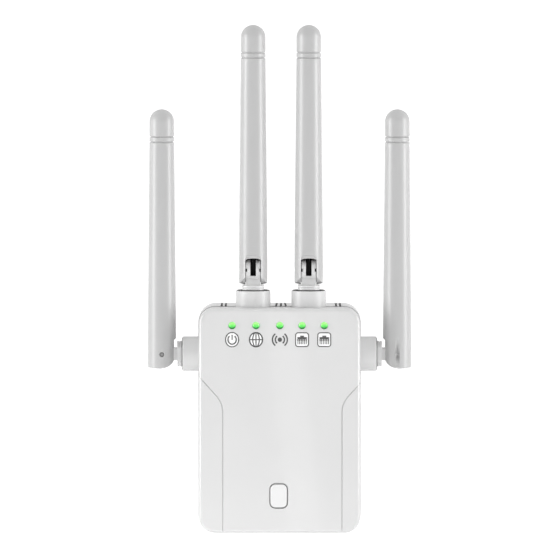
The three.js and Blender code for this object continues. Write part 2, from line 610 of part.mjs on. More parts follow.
function indicatorLens(x) {
  const back = BOARD_FRONT - SEAT_GAP;
  const shoulder = INNER_FRONT_Y + SEAT_GAP;
  const dome = [0, 30, 60].map((angle) => {
    const a = THREE.MathUtils.degToRad(angle);
    return [LENS_RADIUS * Math.cos(a), FRONT_Y - LENS_PROUD * Math.sin(a)];
  });
  const profile = [
    [0, FRONT_Y - LENS_PROUD],
    ...dome.reverse(),
    [LENS_RADIUS, shoulder],
    [LENS_RADIUS + LENS_FLANGE, shoulder],
    [LENS_RADIUS + LENS_FLANGE, shoulder + LENS_FLANGE_THICK],
    [LENS_RADIUS, shoulder + LENS_FLANGE_THICK],
    [LENS_RADIUS, back],
    [0, back],
  ];
  const points = profile.map(([radius, y]) => new THREE.Vector2(radius, y));
  return solidOf(new THREE.LatheGeometry(points, COARSE).translate(x, 0, LENS_Z));
}

function resetSwitch() {
  const wellEnd = RESET_SWITCH_LEFT + RESET_PLUNGER_DEPTH + RESET_TRAVEL + SLIP_GAP;
  return cut(
    box(
      [RESET_SWITCH_LEFT, RESET_SWITCH_LEFT + RESET_SWITCH_SIZE],
      about(RESET_AXIS[0], RESET_SWITCH_SIZE),
      about(RESET_HEIGHT, RESET_SWITCH_SIZE)),
    cylinderX(RESET_HOLE_RADIUS, [RESET_SWITCH_LEFT - CUT_OVERRUN, wellEnd], RESET_AXIS, COARSE),
  );
}

function resetPlunger() {
  const run = [-INNER_SIDE_X + SLIP_GAP, RESET_SWITCH_LEFT + RESET_PLUNGER_DEPTH];
  return cylinderX(RESET_HOLE_RADIUS - SLIP_GAP, run, RESET_AXIS, COARSE);
}

// ---------------------------------------------------------------- boards and what they carry

function mainBoard() {
  const edge = INNER_SIDE_X - BOARD_MARGIN;
  const top = INNER_TOP_Z - BOARD_MARGIN;
  return cut(
    box([-edge, edge], [BOARD_FRONT, BOARD_BACK], [-top, top]),
    onEachScrew(BOSS_RADIUS + SLIP_GAP, [BOARD_FRONT - CUT_OVERRUN, BOARD_BACK + CUT_OVERRUN]),
    // the corners beyond the bosses are taken off square, where the boss would leave a sliver
    ...screwPlaces.map(([x, z]) => box(
      x > 0 ? [x, edge + CUT_OVERRUN] : [-edge - CUT_OVERRUN, x],
      [BOARD_FRONT - CUT_OVERRUN, BOARD_BACK + CUT_OVERRUN],
      z > 0 ? [z, top + CUT_OVERRUN] : [-top - CUT_OVERRUN, z])),
  );
}

function powerBoard() {
  const edge = INNER_SIDE_X - BOARD_MARGIN;
  return box([-edge, edge], [POWER_BOARD_FRONT, POWER_BOARD_BACK], [POWER_BOARD_BOTTOM, POWER_BOARD_TOP]);
}

// A block that sits on a board's front face.
function onBoard(boardFront, { width, height, thick, x, z }) {
  return box(about(x, width), [boardFront - SEAT_GAP - thick, boardFront - SEAT_GAP], about(z, height));
}

// A capacitor that lies on the power board along Z.
function lyingCapacitor({ radius, length, x, z }) {
  const y = POWER_BOARD_FRONT - SEAT_GAP - radius;
  return cylinderZ(radius, about(z, length), [x, y], FINE);
}

function boardHeader({ width, height, x, z }) {
  const run = [BOARD_BACK + SEAT_GAP, POWER_BOARD_FRONT - SEAT_GAP];
  return box(about(x, width), run, about(z, height));
}

function networkJack(x) {
  const mouth = BASE_Z + JACK_RECESS;
  const portFront = jackRunY[0] + PORT_FROM_BOARD;
  const latchFront = portFront + PORT_HEIGHT;
  return cut(
    box(about(x, JACK_WIDTH), jackRunY, [mouth, mouth + JACK_LENGTH]),
    box(about(x, PORT_WIDTH), [portFront, latchFront], [mouth - CUT_OVERRUN, mouth + PORT_LENGTH]),
    box(
      about(x, LATCH_WIDTH),
      [latchFront - CUT_OVERRUN, latchFront + LATCH_HEIGHT],
      [mouth - CUT_OVERRUN, mouth + LATCH_LENGTH]),
  );
}

// ---------------------------------------------------------------- plug, screws and label

function plugBlade(x) {
  const tip = BLADE_LENGTH;
  const half = BLADE_WIDTH / 2;
  const root = POWER_BOARD_BACK + SEAT_GAP;
  const shape = new THREE.Shape([
    new THREE.Vector2(root, -half),
    new THREE.Vector2(tip - BLADE_TIP_CHAMFER, -half),
    new THREE.Vector2(tip, -half + BLADE_TIP_CHAMFER),
    new THREE.Vector2(tip, half - BLADE_TIP_CHAMFER),
    new THREE.Vector2(tip - BLADE_TIP_CHAMFER, half),
    new THREE.Vector2(root, half),
  ]);
  const holeCentre = [tip - BLADE_HOLE_FROM_TIP, 0];
  const hole = cylinderX(BLADE_HOLE_RADIUS, about(0, 4 * BLADE_THICK), holeCentre, COARSE);
  return cut(plateAcrossX(shape, BLADE_THICK), hole).translate([x, 0, 0]);
}

function casingScrew([x, z]) {
  const headBack = -SCREW_RECESS_DEPTH + SEAT_GAP;
  const screw = join(
    cylinderY(SCREW_HEAD_RADIUS, [headBack, headBack + SCREW_HEAD_HEIGHT], [0, 0], COARSE),
    cylinderY(SCREW_SHAFT_RADIUS, [headBack - SCREW_LENGTH, headBack + SEAT_GAP], [0, 0], COARSE),
  );
  const headFace = headBack + SCREW_HEAD_HEIGHT;
  const slotRun = [headFace - SCREW_CROSS_DEPTH, headFace + CUT_OVERRUN];
  const crossSlots = join(
    box(about(0, SCREW_CROSS_LENGTH), slotRun, about(0, SCREW_CROSS_WIDTH)),
    box(about(0, SCREW_CROSS_WIDTH), slotRun, about(0, SCREW_CROSS_LENGTH)),
  );
  return cut(screw, crossSlots).translate([x, 0, z]);
}

function ratingLabel() {
  const front = -LABEL_RECESS + SEAT_GAP;
  return box(about(0, LABEL_WIDTH), [front, front + LABEL_THICK], about(-LABEL_DROP, LABEL_HEIGHT));
}

// ---------------------------------------------------------------- antennas, each in its own frame

// The washer, in the frame of the collar's rim.
function sealWasher() {
  const inner = BASE_NECK_RADIUS + TURN_GAP;
  const outer = COLLAR_RADIUS - WASHER_RIM - SLIP_GAP;
  const foot = -WASHER_THICK + SEAT_GAP / 2;
  return lathe([[inner, foot], [outer, foot], [outer, 0], [inner, 0], [inner, foot]]);
}

// The base, in the frame of the collar's rim.
function antennaBase() {
  const grooveRadius = BASE_RING_RADIUS - BASE_RING_GROOVE;
  const [grooveFoot, grooveTop] = about(RING_FOOT + BASE_RING_HEIGHT / 2, BASE_RING_GROOVE_WIDTH);
  const body = lathe([
    [0, FLANGE_FOOT],
    [BASE_FLANGE_RADIUS, FLANGE_FOOT],
    [BASE_FLANGE_RADIUS, FLANGE_TOP],
    [BASE_NECK_RADIUS, FLANGE_TOP],
    [BASE_NECK_RADIUS, RING_FOOT],
    [BASE_RING_RADIUS, RING_FOOT],
    [BASE_RING_RADIUS, grooveFoot],
    [grooveRadius, grooveFoot],
    [grooveRadius, grooveTop],
    [BASE_RING_RADIUS, grooveTop],
    [BASE_RING_RADIUS, RING_TOP],
    [0, RING_TOP],
  ]);
  const flats = [-1, 1].map((side) => box(
    side > 0 ? [BASE_RING_FLATS / 2, everything] : [-everything, -BASE_RING_FLATS / 2],
    about(0, everything), [0, everything]));
  const outline = new THREE.Shape();
  const neck = TONGUE_NECK_THICK / 2;
  const neckAngle = Math.asin(neck / TONGUE_EYE_RADIUS);
  outline.moveTo(-neck, 0);
  outline.lineTo(neck, 0);
  outline.absarc(0, PIN_HEIGHT, TONGUE_EYE_RADIUS, -QUARTER_TURN + neckAngle, 3 * QUARTER_TURN - neckAngle);
  outline.lineTo(-neck, 0);
  const tongue = plateAcrossX(outline, TONGUE_WIDTH);
  const slotFoot = PIN_HEIGHT - TONGUE_SLOT_BELOW_PIN;
  return cut(
    join(cut(body, ...flats), tongue),
    box(about(0, TONGUE_SLOT_WIDTH), about(0, everything), [slotFoot, everything]),
    cylinderZ(LEAD_RADIUS + TURN_GAP, [-everything, slotFoot + CUT_OVERRUN], [0, 0], COARSE),
    cylinderX(PIN_RADIUS + PIN_CLEARANCE, about(0, everything), [0, PIN_HEIGHT], COARSE),
  );
}

// The rest of an antenna is drawn in the frame of the hinge pin, whip straight up.

function sleeveProfile() {
  const slope = (SLEEVE_TOP_RADIUS - SLEEVE_FOOT_RADIUS) / (SLEEVE_GROOVES[0] - SLEEVE_TAPER_START);
  const radiusAt = (height) => SLEEVE_FOOT_RADIUS + slope * (height - SLEEVE_TAPER_START);
  const half = SLEEVE_GROOVE_WIDTH / 2;
  const grooves = SLEEVE_GROOVES.flatMap((height) => [
    [radiusAt(height - half), height - half],
    [radiusAt(height - half) - SLEEVE_GROOVE_DEPTH, height - half],
    [radiusAt(height + half) - SLEEVE_GROOVE_DEPTH, height + half],
    [radiusAt(height + half), height + half],
  ]);
  const domeRadius = radiusAt(SLEEVE_GROOVES[1] + half);
  const domeSteps = 4;
  const dome = [];
  for (let i = 0; i < domeSteps; i += 1) {
    const a = (QUARTER_TURN * i) / domeSteps;
    dome.push([domeRadius * Math.cos(a), SLEEVE_TIP - domeRadius + domeRadius * Math.sin(a)]);
  }
  return [
    [0, -SLEEVE_END],
    [SLEEVE_END_FACE_RADIUS, -SLEEVE_END + SLEEVE_END_FACE_RISE],
    [SLEEVE_FOOT_RADIUS, -SLEEVE_END + SLEEVE_END_DOME],
    [SLEEVE_FOOT_RADIUS, SLEEVE_TAPER_START],
    ...grooves,
    ...dome,
    [0, SLEEVE_TIP],
  ];
}

function antennaSleeve() {
  const forkWindow = box(about(0, FORK_WIDTH), [-everything, FORK_BACK], [-everything, FORK_TOP]);
  // the flat on the window's side, with its upper corner curved into the whip
  const curve = FORK_FLAT_CURVE;
  const flat = new THREE.Shape();
  flat.moveTo(-everything, -everything);
  flat.lineTo(-FORK_FLAT, -everything);
  flat.lineTo(-FORK_FLAT, FORK_FLAT_TOP - curve);
  flat.absarc(-FORK_FLAT - curve, FORK_FLAT_TOP - curve, curve, 0, QUARTER_TURN);
  flat.lineTo(-everything, FORK_FLAT_TOP);
  const lowerCorner = cut(
    box(about(0, everything), [-everything, 0], [-everything, 0]),
    cylinderX(FORK_CORNER_RADIUS, about(0, 2 * everything), [0, 0]),
  );
  const pockets = box(
    about(0, FORK_WIDTH + 2 * FORK_POCKET),
    [-everything, FORK_BACK],
    [-everything, -SLEEVE_END + SLEEVE_END_DOME + FORK_POCKET]);
  return cut(
    lathe(sleeveProfile()),
    cylinderZ(SLEEVE_BORE_RADIUS, [0, SLEEVE_BORE_TOP], [0, 0], COARSE),
    forkWindow,
    plateAcrossX(flat, 2 * everything, 4),
    lowerCorner,
    pockets,
    cylinderX(PIN_RADIUS + PIN_CLEARANCE, about(0, everything), [0, 0], COARSE),
  );
}

function hingePin(side) {
  const inner = TONGUE_SLOT_WIDTH / 2 + SEAT_GAP;
  const outer = SLEEVE_FOOT_RADIUS - SLIP_GAP;
  return cylinderX(PIN_RADIUS, side > 0 ? [inner, outer] : [-outer, -inner], [0, 0], COARSE);
}

function radiator() {
  const ferrule = SLEEVE_BORE_RADIUS - SLIP_GAP;
  const ferruleEnd = FERRULE_START + FERRULE_LENGTH;
  return lathe([
    [0, LEAD_END_GAP],
    [LEAD_RADIUS, LEAD_END_GAP],
    [LEAD_RADIUS, FERRULE_START],
    [ferrule, FERRULE_START],
    [ferrule, ferruleEnd],
    [RADIATOR_TUBE_RADIUS, ferruleEnd],
    [RADIATOR_TUBE_RADIUS, RADIATOR_TUBE_END],
    [LEAD_RADIUS, RADIATOR_TUBE_END],
    [LEAD_RADIUS, RADIATOR_TOP - FERRULE_LENGTH],
    [ferrule, RADIATOR_TOP - FERRULE_LENGTH],
    [ferrule, RADIATOR_TOP],
    [0, RADIATOR_TOP],
  ], COARSE);
}

// ---------------------------------------------------------------- coaxial leads, in the casing's frame

// Each lead starts on the board, turns into the collar and runs up the middle of the base to the hinge.
function leadRoute({ at: [x, y, z], fold }) {
  const side = Math.sign(x);
  const reach = PIN_HEIGHT - LEAD_END_GAP;
  if (fold === 0) {
    const bends = UPPER_LEAD_ROUTE.map(([inward, aside]) => [x + side * aside, y, TOP_Z - inward]);
    return [...bends, [x, y, z + reach]];
  }
  const bends = SIDE_LEAD_ROUTE.map(([inward, aside]) => [side * (SIDE_X - inward), y, z - aside]);
  return [...bends, [x, y, z], [x + side * reach, y, z]];
}

function coaxLead(antenna) {
  const points = leadRoute(antenna).map((point) => new THREE.Vector3(...point));
  const section = new THREE.Shape();
  section.absarc(0, 0, LEAD_RADIUS, 0, 2 * Math.PI);
  const curve = new THREE.CatmullRomCurve3(points, false, "centripetal");
  const options = { steps: LEAD_STEPS, curveSegments: LEAD_SEGMENTS, extrudePath: curve };
  return solidOf(new THREE.ExtrudeGeometry(section, options));
}

// ---------------------------------------------------------------- assembly

const extender = new THREE.Group();
extender.name = "wifi_range_extender";

function addPiece(group, name, solid, material) {
  const mesh = new THREE.Mesh(geometryOf(solid), material);
  mesh.name = name;
  group.add(mesh);
  return mesh;
}

addPiece(extender, "front_cover", frontCover(), GLOSS_WHITE);
addPiece(extender, "rear_shell", rearShell(), SATIN_WHITE);
addPiece(extender, "wps_button", wpsButton(), SATIN_WHITE);
addPiece(extender, "wps_switch", wpsSwitch(), BLACK_PLASTIC);
addPiece(extender, "wps_switch_stem", wpsSwitchStem(), BLACK_PLASTIC);
addPiece(extender, "reset_switch", resetSwitch(), BLACK_PLASTIC);
addPiece(extender, "reset_plunger", resetPlunger(), BLACK_PLASTIC);
["power", "internet", "wireless", "wan", "lan"].forEach((use, i) =>
  addPiece(extender, `led_lens_${use}`, indicatorLens(LENS_X[i]), GREEN_LENS));

addPiece(extender, "main_board", mainBoard(), BOARD_GREEN);
addPiece(extender, "processor", onBoard(BOARD_FRONT, PROCESSOR), BLACK_PLASTIC);
addPiece(extender, "radio_shield", onBoard(BOARD_FRONT, RADIO_SHIELD), TIN_PLATE);
addPiece(extender, "lan_transformer", onBoard(BOARD_FRONT, LAN_TRANSFORMER), BLACK_PLASTIC);
addPiece(extender, "rj45_jack_wan", networkJack(jackPlaces[0]), BLACK_PLASTIC);
addPiece(extender, "rj45_jack_lan", networkJack(jackPlaces[1]), BLACK_PLASTIC);

addPiece(extender, "power_board", powerBoard(), BOARD_GREEN);
addPiece(extender, "transformer", onBoard(POWER_BOARD_FRONT, TRANSFORMER), YELLOW_TAPE);
addPiece(extender, "bulk_capacitor", lyingCapacitor(BULK_CAPACITOR), CAPACITOR_SLEEVE);
addPiece(extender, "output_capacitor", lyingCapacitor(OUTPUT_CAPACITOR), CAPACITOR_SLEEVE);
addPiece(extender, "rectifier", onBoard(POWER_BOARD_FRONT, RECTIFIER), BLACK_PLASTIC);
addPiece(extender, "board_header", boardHeader(BOARD_HEADER), BLACK_PLASTIC);

addPiece(extender, "plug_blade_left", plugBlade(bladePlaces[0]), NICKEL);
addPiece(extender, "plug_blade_right", plugBlade(bladePlaces[1]), NICKEL);
screwPlaces.forEach((place, i) => addPiece(extender, `casing_screw_${i + 1}`, casingScrew(place), STEEL));
addPiece(extender, "rating_label", ratingLabel(), BLANK_LABEL);

const washer = sealWasher();
const base = antennaBase();
const sleeve = antennaSleeve();
const pins = { left: hingePin(-1), right: hingePin(1) };
const whip = radiator();

for (const antenna of ANTENNAS) {
  const { name, at, fold } = antenna;
  const collarFrame = new THREE.Group();
  collarFrame.position.set(...at);
  if (fold > 0) {
    // +Z out of the side wall, and -Y, which the whip folds towards, straight up
    const outward = new THREE.Vector3(Math.sign(at[0]), 0, 0);
    const down = new THREE.Vector3(0, 0, -1);
    const pinAxis = new THREE.Vector3().crossVectors(down, outward);
    collarFrame.setRotationFromMatrix(new THREE.Matrix4().makeBasis(pinAxis, down, outward));
  }
  addPiece(collarFrame, `${name}_washer`, washer, BLACK_RUBBER);
  addPiece(collarFrame, `${name}_base`, base, SATIN_WHITE);
  const hingeFrame = new THREE.Group();
  hingeFrame.position.z = PIN_HEIGHT;
  hingeFrame.rotation.x = fold;
  addPiece(hingeFrame, `${name}_sleeve`, sleeve, SLEEVE_WHITE);
  addPiece(hingeFrame, `${name}_pin_left`, pins.left, STEEL);
  addPiece(hingeFrame, `${name}_pin_right`, pins.right, STEEL);
  addPiece(hingeFrame, `${name}_radiator`, whip, BRASS);
  collarFrame.add(hingeFrame);
  extender.add(collarFrame);
  addPiece(extender, `${name}_lead`, coaxLead(antenna), BLACK_RUBBER);
}

export default extender;
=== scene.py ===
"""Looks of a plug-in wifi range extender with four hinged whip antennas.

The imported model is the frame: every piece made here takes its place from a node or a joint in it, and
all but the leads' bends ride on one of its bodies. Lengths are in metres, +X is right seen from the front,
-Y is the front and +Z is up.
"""

import json
import math

import bmesh
import bpy
from bpy.props import FloatProperty, FloatVectorProperty, PointerProperty
from mathutils import Matrix, Vector


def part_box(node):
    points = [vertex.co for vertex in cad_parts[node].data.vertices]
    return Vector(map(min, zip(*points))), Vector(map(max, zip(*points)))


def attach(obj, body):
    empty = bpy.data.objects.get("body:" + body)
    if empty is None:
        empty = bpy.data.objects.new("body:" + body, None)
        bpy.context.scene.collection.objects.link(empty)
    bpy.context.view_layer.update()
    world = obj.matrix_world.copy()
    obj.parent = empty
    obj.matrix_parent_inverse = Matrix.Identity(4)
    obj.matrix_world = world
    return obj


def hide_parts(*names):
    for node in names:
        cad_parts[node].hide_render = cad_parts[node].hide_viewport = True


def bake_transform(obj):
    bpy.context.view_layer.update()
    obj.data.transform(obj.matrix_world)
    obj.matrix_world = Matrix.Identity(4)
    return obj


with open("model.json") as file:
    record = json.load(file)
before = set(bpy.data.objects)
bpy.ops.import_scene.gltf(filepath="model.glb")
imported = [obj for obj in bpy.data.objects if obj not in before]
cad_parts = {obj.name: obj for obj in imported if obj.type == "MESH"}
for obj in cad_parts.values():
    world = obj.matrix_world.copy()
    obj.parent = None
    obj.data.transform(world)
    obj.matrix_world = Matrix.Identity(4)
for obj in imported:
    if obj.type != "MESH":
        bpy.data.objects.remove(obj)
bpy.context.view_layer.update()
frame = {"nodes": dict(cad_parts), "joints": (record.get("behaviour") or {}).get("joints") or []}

bl_info = {
    "name": "Wifi Range Extender",
    "version": (1, 0, 0),
    "blender": (4, 5, 0),
    "location": "View3D > Sidebar > Extender",
    "description": "Makes the visible mouldings, hinges, lamps and finishes of a plug-in wifi range extender",
    "category": "Object",
}

MM = 0.001
FULL_TURN = 2 * math.pi
QUARTER_TURN = math.pi / 2

# ---------------------------------------------------------------- places read from the frame

COLLAR_HEIGHT = 5.5 * MM
COLLAR_RADIUS = 6.1 * MM
PIN_HEIGHT = 7.3 * MM  # from a collar's rim up to the hinge pins
COVER_DEPTH = 9 * MM  # from the front face back to the seam
SEAM_GAP = 0.015 * MM  # left on each side of the seam
LENS_RADIUS = 1.17 * MM
LENS_HOLE_RADIUS = 1.27 * MM
FORK_END = -5.2 * MM  # from the hinge pins to the tips of a whip's ears
shell_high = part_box("rear_shell")[1]
cover_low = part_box("front_cover")[0]
SIDE_X = shell_high.x - COLLAR_HEIGHT
TOP_Z = shell_high.z - COLLAR_HEIGHT
BACK_Y = shell_high.y
FRONT_Y = cover_low.y
SEAM_Y = FRONT_Y + COVER_DEPTH
JOINTS = {joint["name"]: joint for joint in frame["joints"]}
ANTENNAS = ("antenna_upper_left", "antenna_upper_right", "antenna_side_left", "antenna_side_right")
LAMPS = ("power", "internet", "wireless", "wan", "lan")


def middle(node):
    """The centre of a CAD node's box."""
    low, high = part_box(node)
    return (low + high) / 2


def frames_of(antenna):
    """The collar rim's frame, with +Z out of the collar and X along the hinge pin, and the whip's frame."""
    rim = Vector(JOINTS[antenna + "_turn"]["pos_m"])
    pin = Vector(JOINTS[antenna + "_fold"]["pos_m"])
    outward = (pin - rim).normalized()
    up = Vector((0, 0, 1))
    if outward.dot(up) > 0.5:
        collar = Matrix.Translation(rim)
        return collar, Matrix.Translation(pin)
    across = (-up).cross(outward)
    collar = Matrix((across, -up, outward)).transposed().to_4x4()
    whip = Matrix((across, outward, up)).transposed().to_4x4()
    return Matrix.Translation(rim) @ collar, Matrix.Translation(pin) @ whip


# ---------------------------------------------------------------- colours and nodes

def linear(hex_colour):
    """An sRGB hex colour as linear red, green and blue."""
    channels = [int(hex_colour[i:i + 2], 16) / 255 for i in (0, 2, 4)]
    return tuple(c / 12.92 if c <= 0.04045 else ((c + 0.055) / 1.055) ** 2.4 for c in channels)


def add_node(tree, kind, sockets=None, **settings):
    """Adds a node. Each socket takes a value, or a link from another node's output as (node, output)."""
    node = tree.nodes.new(kind)
    for name, value in settings.items():
        setattr(node, name, value)
    for name, value in (sockets or {}).items():
        if isinstance(value, tuple) and isinstance(value[0], bpy.types.Node):
            tree.links.new(value[0].outputs[value[1]], node.inputs[name])
        else:
            node.inputs[name].default_value = value
    return node


def start_material(name):
    """A material with only its output, and the object's own coordinates to hang patterns on."""
    material = bpy.data.materials.new(name)
    material.use_nodes = True
    tree = material.node_tree
    tree.nodes.clear()
    return material, tree, add_node(tree, "ShaderNodeTexCoord")


def end_material(tree, sockets):
    """The principled shader and the output."""
    shader = add_node(tree, "ShaderNodeBsdfPrincipled", sockets)
    add_node(tree, "ShaderNodeOutputMaterial", {"Surface": (shader, "BSDF")})


def per_size(size):
    """The texture scale whose features are about `size` metres across."""
    return 1 / size


def moulded_abs(name, colour, roughness, peel=0.5, side_roughness=None):
    """Injection-moulded ABS from a polished tool: white right through, a wet gloss with a faint orange
    peel, and a soft unevenness where the melt flowed. The walls behind the front face can be less glossy."""
    material, tree, place = start_material(name)
    flow = add_node(tree, "ShaderNodeTexNoise", {
        "Vector": (place, "Object"), "Scale": per_size(28 * MM), "Detail": 2.0})
    tint = add_node(tree, "ShaderNodeMapRange", {
        "Value": (flow, "Fac"), "From Min": 0.3, "From Max": 0.7, "To Min": 0.975, "To Max": 1.0})
    shade = add_node(tree, "ShaderNodeVectorMath", {
        0: colour, "Scale": (tint, "Result")}, operation="SCALE")
    gloss = add_node(tree, "ShaderNodeTexNoise", {
        "Vector": (place, "Object"), "Scale": per_size(3 * MM), "Detail": 4.0})
    rough = add_node(tree, "ShaderNodeMapRange", {
        "Value": (gloss, "Fac"), "To Min": roughness * 0.85, "To Max": roughness * 1.15})
    if side_roughness:
        split = add_node(tree, "ShaderNodeSeparateXYZ", {"Vector": (place, "Object")})
        rough = add_node(tree, "ShaderNodeMapRange", {
            "Value": (split, "Y"), "From Min": FRONT_Y + 1.0 * MM, "From Max": FRONT_Y + 1.8 * MM,
            "To Min": (rough, "Result"), "To Max": side_roughness})
    skin = add_node(tree, "ShaderNodeTexNoise", {
        "Vector": (place, "Object"), "Scale": per_size(1.6 * MM), "Detail": 1.0})
    bump = add_node(tree, "ShaderNodeBump", {
        "Height": (skin, "Fac"), "Strength": peel * 0.1, "Distance": 0.02 * MM})
    end_material(tree, {
        "Base Color": (shade, "Vector"), "Roughness": (rough, "Result"), "Normal": (bump, "Normal"),
        "IOR": 1.53})
    return material


def moulded_elastomer(name, colour):
    """Thermoplastic elastomer moulded over the radiator: a slightly greyer white than the casing, with
    a fine spark-eroded grain that spreads the highlights."""
    material, tree, place = start_material(name)
    grain = add_node(tree, "ShaderNodeTexNoise", {
        "Vector": (place, "Object"), "Scale": per_size(0.5 * MM), "Detail": 3.0})
    rough = add_node(tree, "ShaderNodeMapRange", {
        "Value": (grain, "Fac"), "To Min": 0.31, "To Max": 0.4})
    cloud = add_node(tree, "ShaderNodeTexNoise", {
        "Vector": (place, "Object"), "Scale": per_size(14 * MM), "Detail": 2.0})
    tint = add_node(tree, "ShaderNodeMapRange", {
        "Value": (cloud, "Fac"), "From Min": 0.3, "From Max": 0.7, "To Min": 0.98, "To Max": 1.0})
    shade = add_node(tree, "ShaderNodeVectorMath", {
        0: colour, "Scale": (tint, "Result")}, operation="SCALE")
    bump = add_node(tree, "ShaderNodeBump", {
        "Height": (grain, "Fac"), "Strength": 0.08, "Distance": 0.03 * MM})
    end_material(tree, {
        "Base Color": (shade, "Vector"), "Roughness": (rough, "Result"), "Normal": (bump, "Normal"),
        "IOR": 1.6})
    return material


def lit_polycarbonate(name, colour, glow):
    """Clear green polycarbonate light pipe, polished and lit from behind: brightest near the top of its
    dome, where the light leaves it, and deeper green low down."""
    material, tree, place = start_material(name)
    split = add_node(tree, "ShaderNodeSeparateXYZ", {"Vector": (place, "Object")})
    centre = middle("led_lens_power")
    height = add_node(tree, "ShaderNodeMapRange", {
        "Value": (split, "Z"), "From Min": centre.z - LENS_RADIUS, "From Max": centre.z + LENS_RADIUS})
    speckle = add_node(tree, "ShaderNodeTexNoise", {
        "Vector": (place, "Object"), "Scale": per_size(0.6 * MM), "Detail": 2.0})
    grain = add_node(tree, "ShaderNodeMapRange", {
        "Value": (speckle, "Fac"), "To Min": 0.85, "To Max": 1.15})
    level = add_node(tree, "ShaderNodeMath", {
        0: (height, "Result"), 1: (grain, "Result")}, operation="MULTIPLY")
    ramp = add_node(tree, "ShaderNodeValToRGB", {"Fac": (level, "Value")})
    foot, top = ramp.color_ramp.elements
    foot.position = 0.2
    foot.color = (*linear("0E7A26"), 1)
    top.position = 0.85
    top.color = (*linear("A4FF86"), 1)
    halfway = ramp.color_ramp.elements.new(0.46)
    halfway.color = (*colour, 1)
    end_material(tree, {
        "Base Color": (ramp, "Color"), "Roughness": 0.08, "IOR": 1.58,
        "Emission Color": (ramp, "Color"), "Emission Strength": glow})
    return material


def printed_ink(name, colour):
    """Pad-printed ink: a matt film with the slightly uneven cover that a silicone pad leaves."""
    material, tree, place = start_material(name)
    cover = add_node(tree, "ShaderNodeTexNoise", {
        "Vector": (place, "Object"), "Scale": per_size(0.4 * MM), "Detail": 2.0})
    tint = add_node(tree, "ShaderNodeMapRange", {
        "Value": (cover, "Fac"), "From Min": 0.3, "From Max": 0.7, "To Min": 0.9, "To Max": 1.1})
    shade = add_node(tree, "ShaderNodeVectorMath", {
        0: colour, "Scale": (tint, "Result")}, operation="SCALE")
    end_material(tree, {"Base Color": (shade, "Vector"), "Roughness": 0.6, "IOR": 1.5})
    return material


def matt_plastic(name, hex_colour, grain_size, roughness=0.5):
    """Glass-filled PBT or nylon, moulded matt: the fibres leave a fine, dry grain."""
    material, tree, place = start_material(name)
    grain = add_node(tree, "ShaderNodeTexNoise", {
        "Vector": (place, "Object"), "Scale": per_size(grain_size), "Detail": 5.0})
    tint = add_node(tree, "ShaderNodeMapRange", {
        "Value": (grain, "Fac"), "From Min": 0.3, "From Max": 0.7, "To Min": 0.8, "To Max": 1.25})
    shade = add_node(tree, "ShaderNodeVectorMath", {
        0: linear(hex_colour), "Scale": (tint, "Result")}, operation="SCALE")
    rough = add_node(tree, "ShaderNodeMapRange", {
        "Value": (grain, "Fac"), "To Min": roughness - 0.1, "To Max": roughness + 0.1})
    bump = add_node(tree, "ShaderNodeBump", {
        "Height": (grain, "Fac"), "Strength": 0.25, "Distance": 0.05 * MM})
    end_material(tree, {
        "Base Color": (shade, "Vector"), "Roughness": (rough, "Result"), "Normal": (bump, "Normal"),
        "IOR": 1.5})
    return material


def drawn_metal(name, hex_colour, roughness, line_spacing, stretch):
    """Drawn, rolled or plated metal: fine lines along the way it was drawn, stretched out by `stretch`,
    which pull each highlight out across them."""
    material, tree, place = start_material(name)
    scaled = add_node(tree, "ShaderNodeMapping", {"Vector": (place, "Object"), "Scale": stretch})
    lines = add_node(tree, "ShaderNodeTexNoise", {
        "Vector": (scaled, "Vector"), "Scale": per_size(line_spacing), "Detail": 3.0})
    tint = add_node(tree, "ShaderNodeMapRange", {
        "Value": (lines, "Fac"), "From Min": 0.3, "From Max": 0.7, "To Min": 0.86, "To Max": 1.0})
    shade = add_node(tree, "ShaderNodeVectorMath", {
        0: linear(hex_colour), "Scale": (tint, "Result")}, operation="SCALE")
    rough = add_node(tree, "ShaderNodeMapRange", {
        "Value": (lines, "Fac"), "To Min": roughness * 0.7, "To Max": roughness * 1.3})
    bump = add_node(tree, "ShaderNodeBump", {
        "Height": (lines, "Fac"), "Strength": 0.15, "Distance": 0.01 * MM})
    end_material(tree, {
        "Base Color": (shade, "Vector"), "Metallic": 1.0, "Roughness": (rough, "Result"),
        "Normal": (bump, "Normal")})
    return material


def solder_mask(name):
    """Glass-epoxy board under green solder mask: copper tracks show as slightly lighter, raised lines."""
    material, tree, place = start_material(name)
    turned = add_node(tree, "ShaderNodeMapping", {
        "Vector": (place, "Object"), "Rotation": (QUARTER_TURN, 0, 0)})
    tracks = add_node(tree, "ShaderNodeTexBrick", {
        "Vector": (turned, "Vector"), "Color1": (0, 0, 0, 1), "Color2": (0.35, 0.35, 0.35, 1),
        "Mortar": (1, 1, 1, 1), "Scale": 1.0, "Mortar Size": 0.12 * MM, "Brick Width": 5.2 * MM,
        "Row Height": 1.3 * MM}, offset=0.37, squash=0.6, squash_frequency=3)
    shade = add_node(tree, "ShaderNodeMix", {
        0: (tracks, "Color"), 6: (*linear("174A2B"), 1), 7: (*linear("2F7A48"), 1)}, data_type="RGBA")
    bump = add_node(tree, "ShaderNodeBump", {
        "Height": (tracks, "Color"), "Strength": 0.4, "Distance": 0.035 * MM})
    end_material(tree, {
        "Base Color": (shade, 2), "Roughness": 0.3, "Normal": (bump, "Normal"), "IOR": 1.5})
    return material


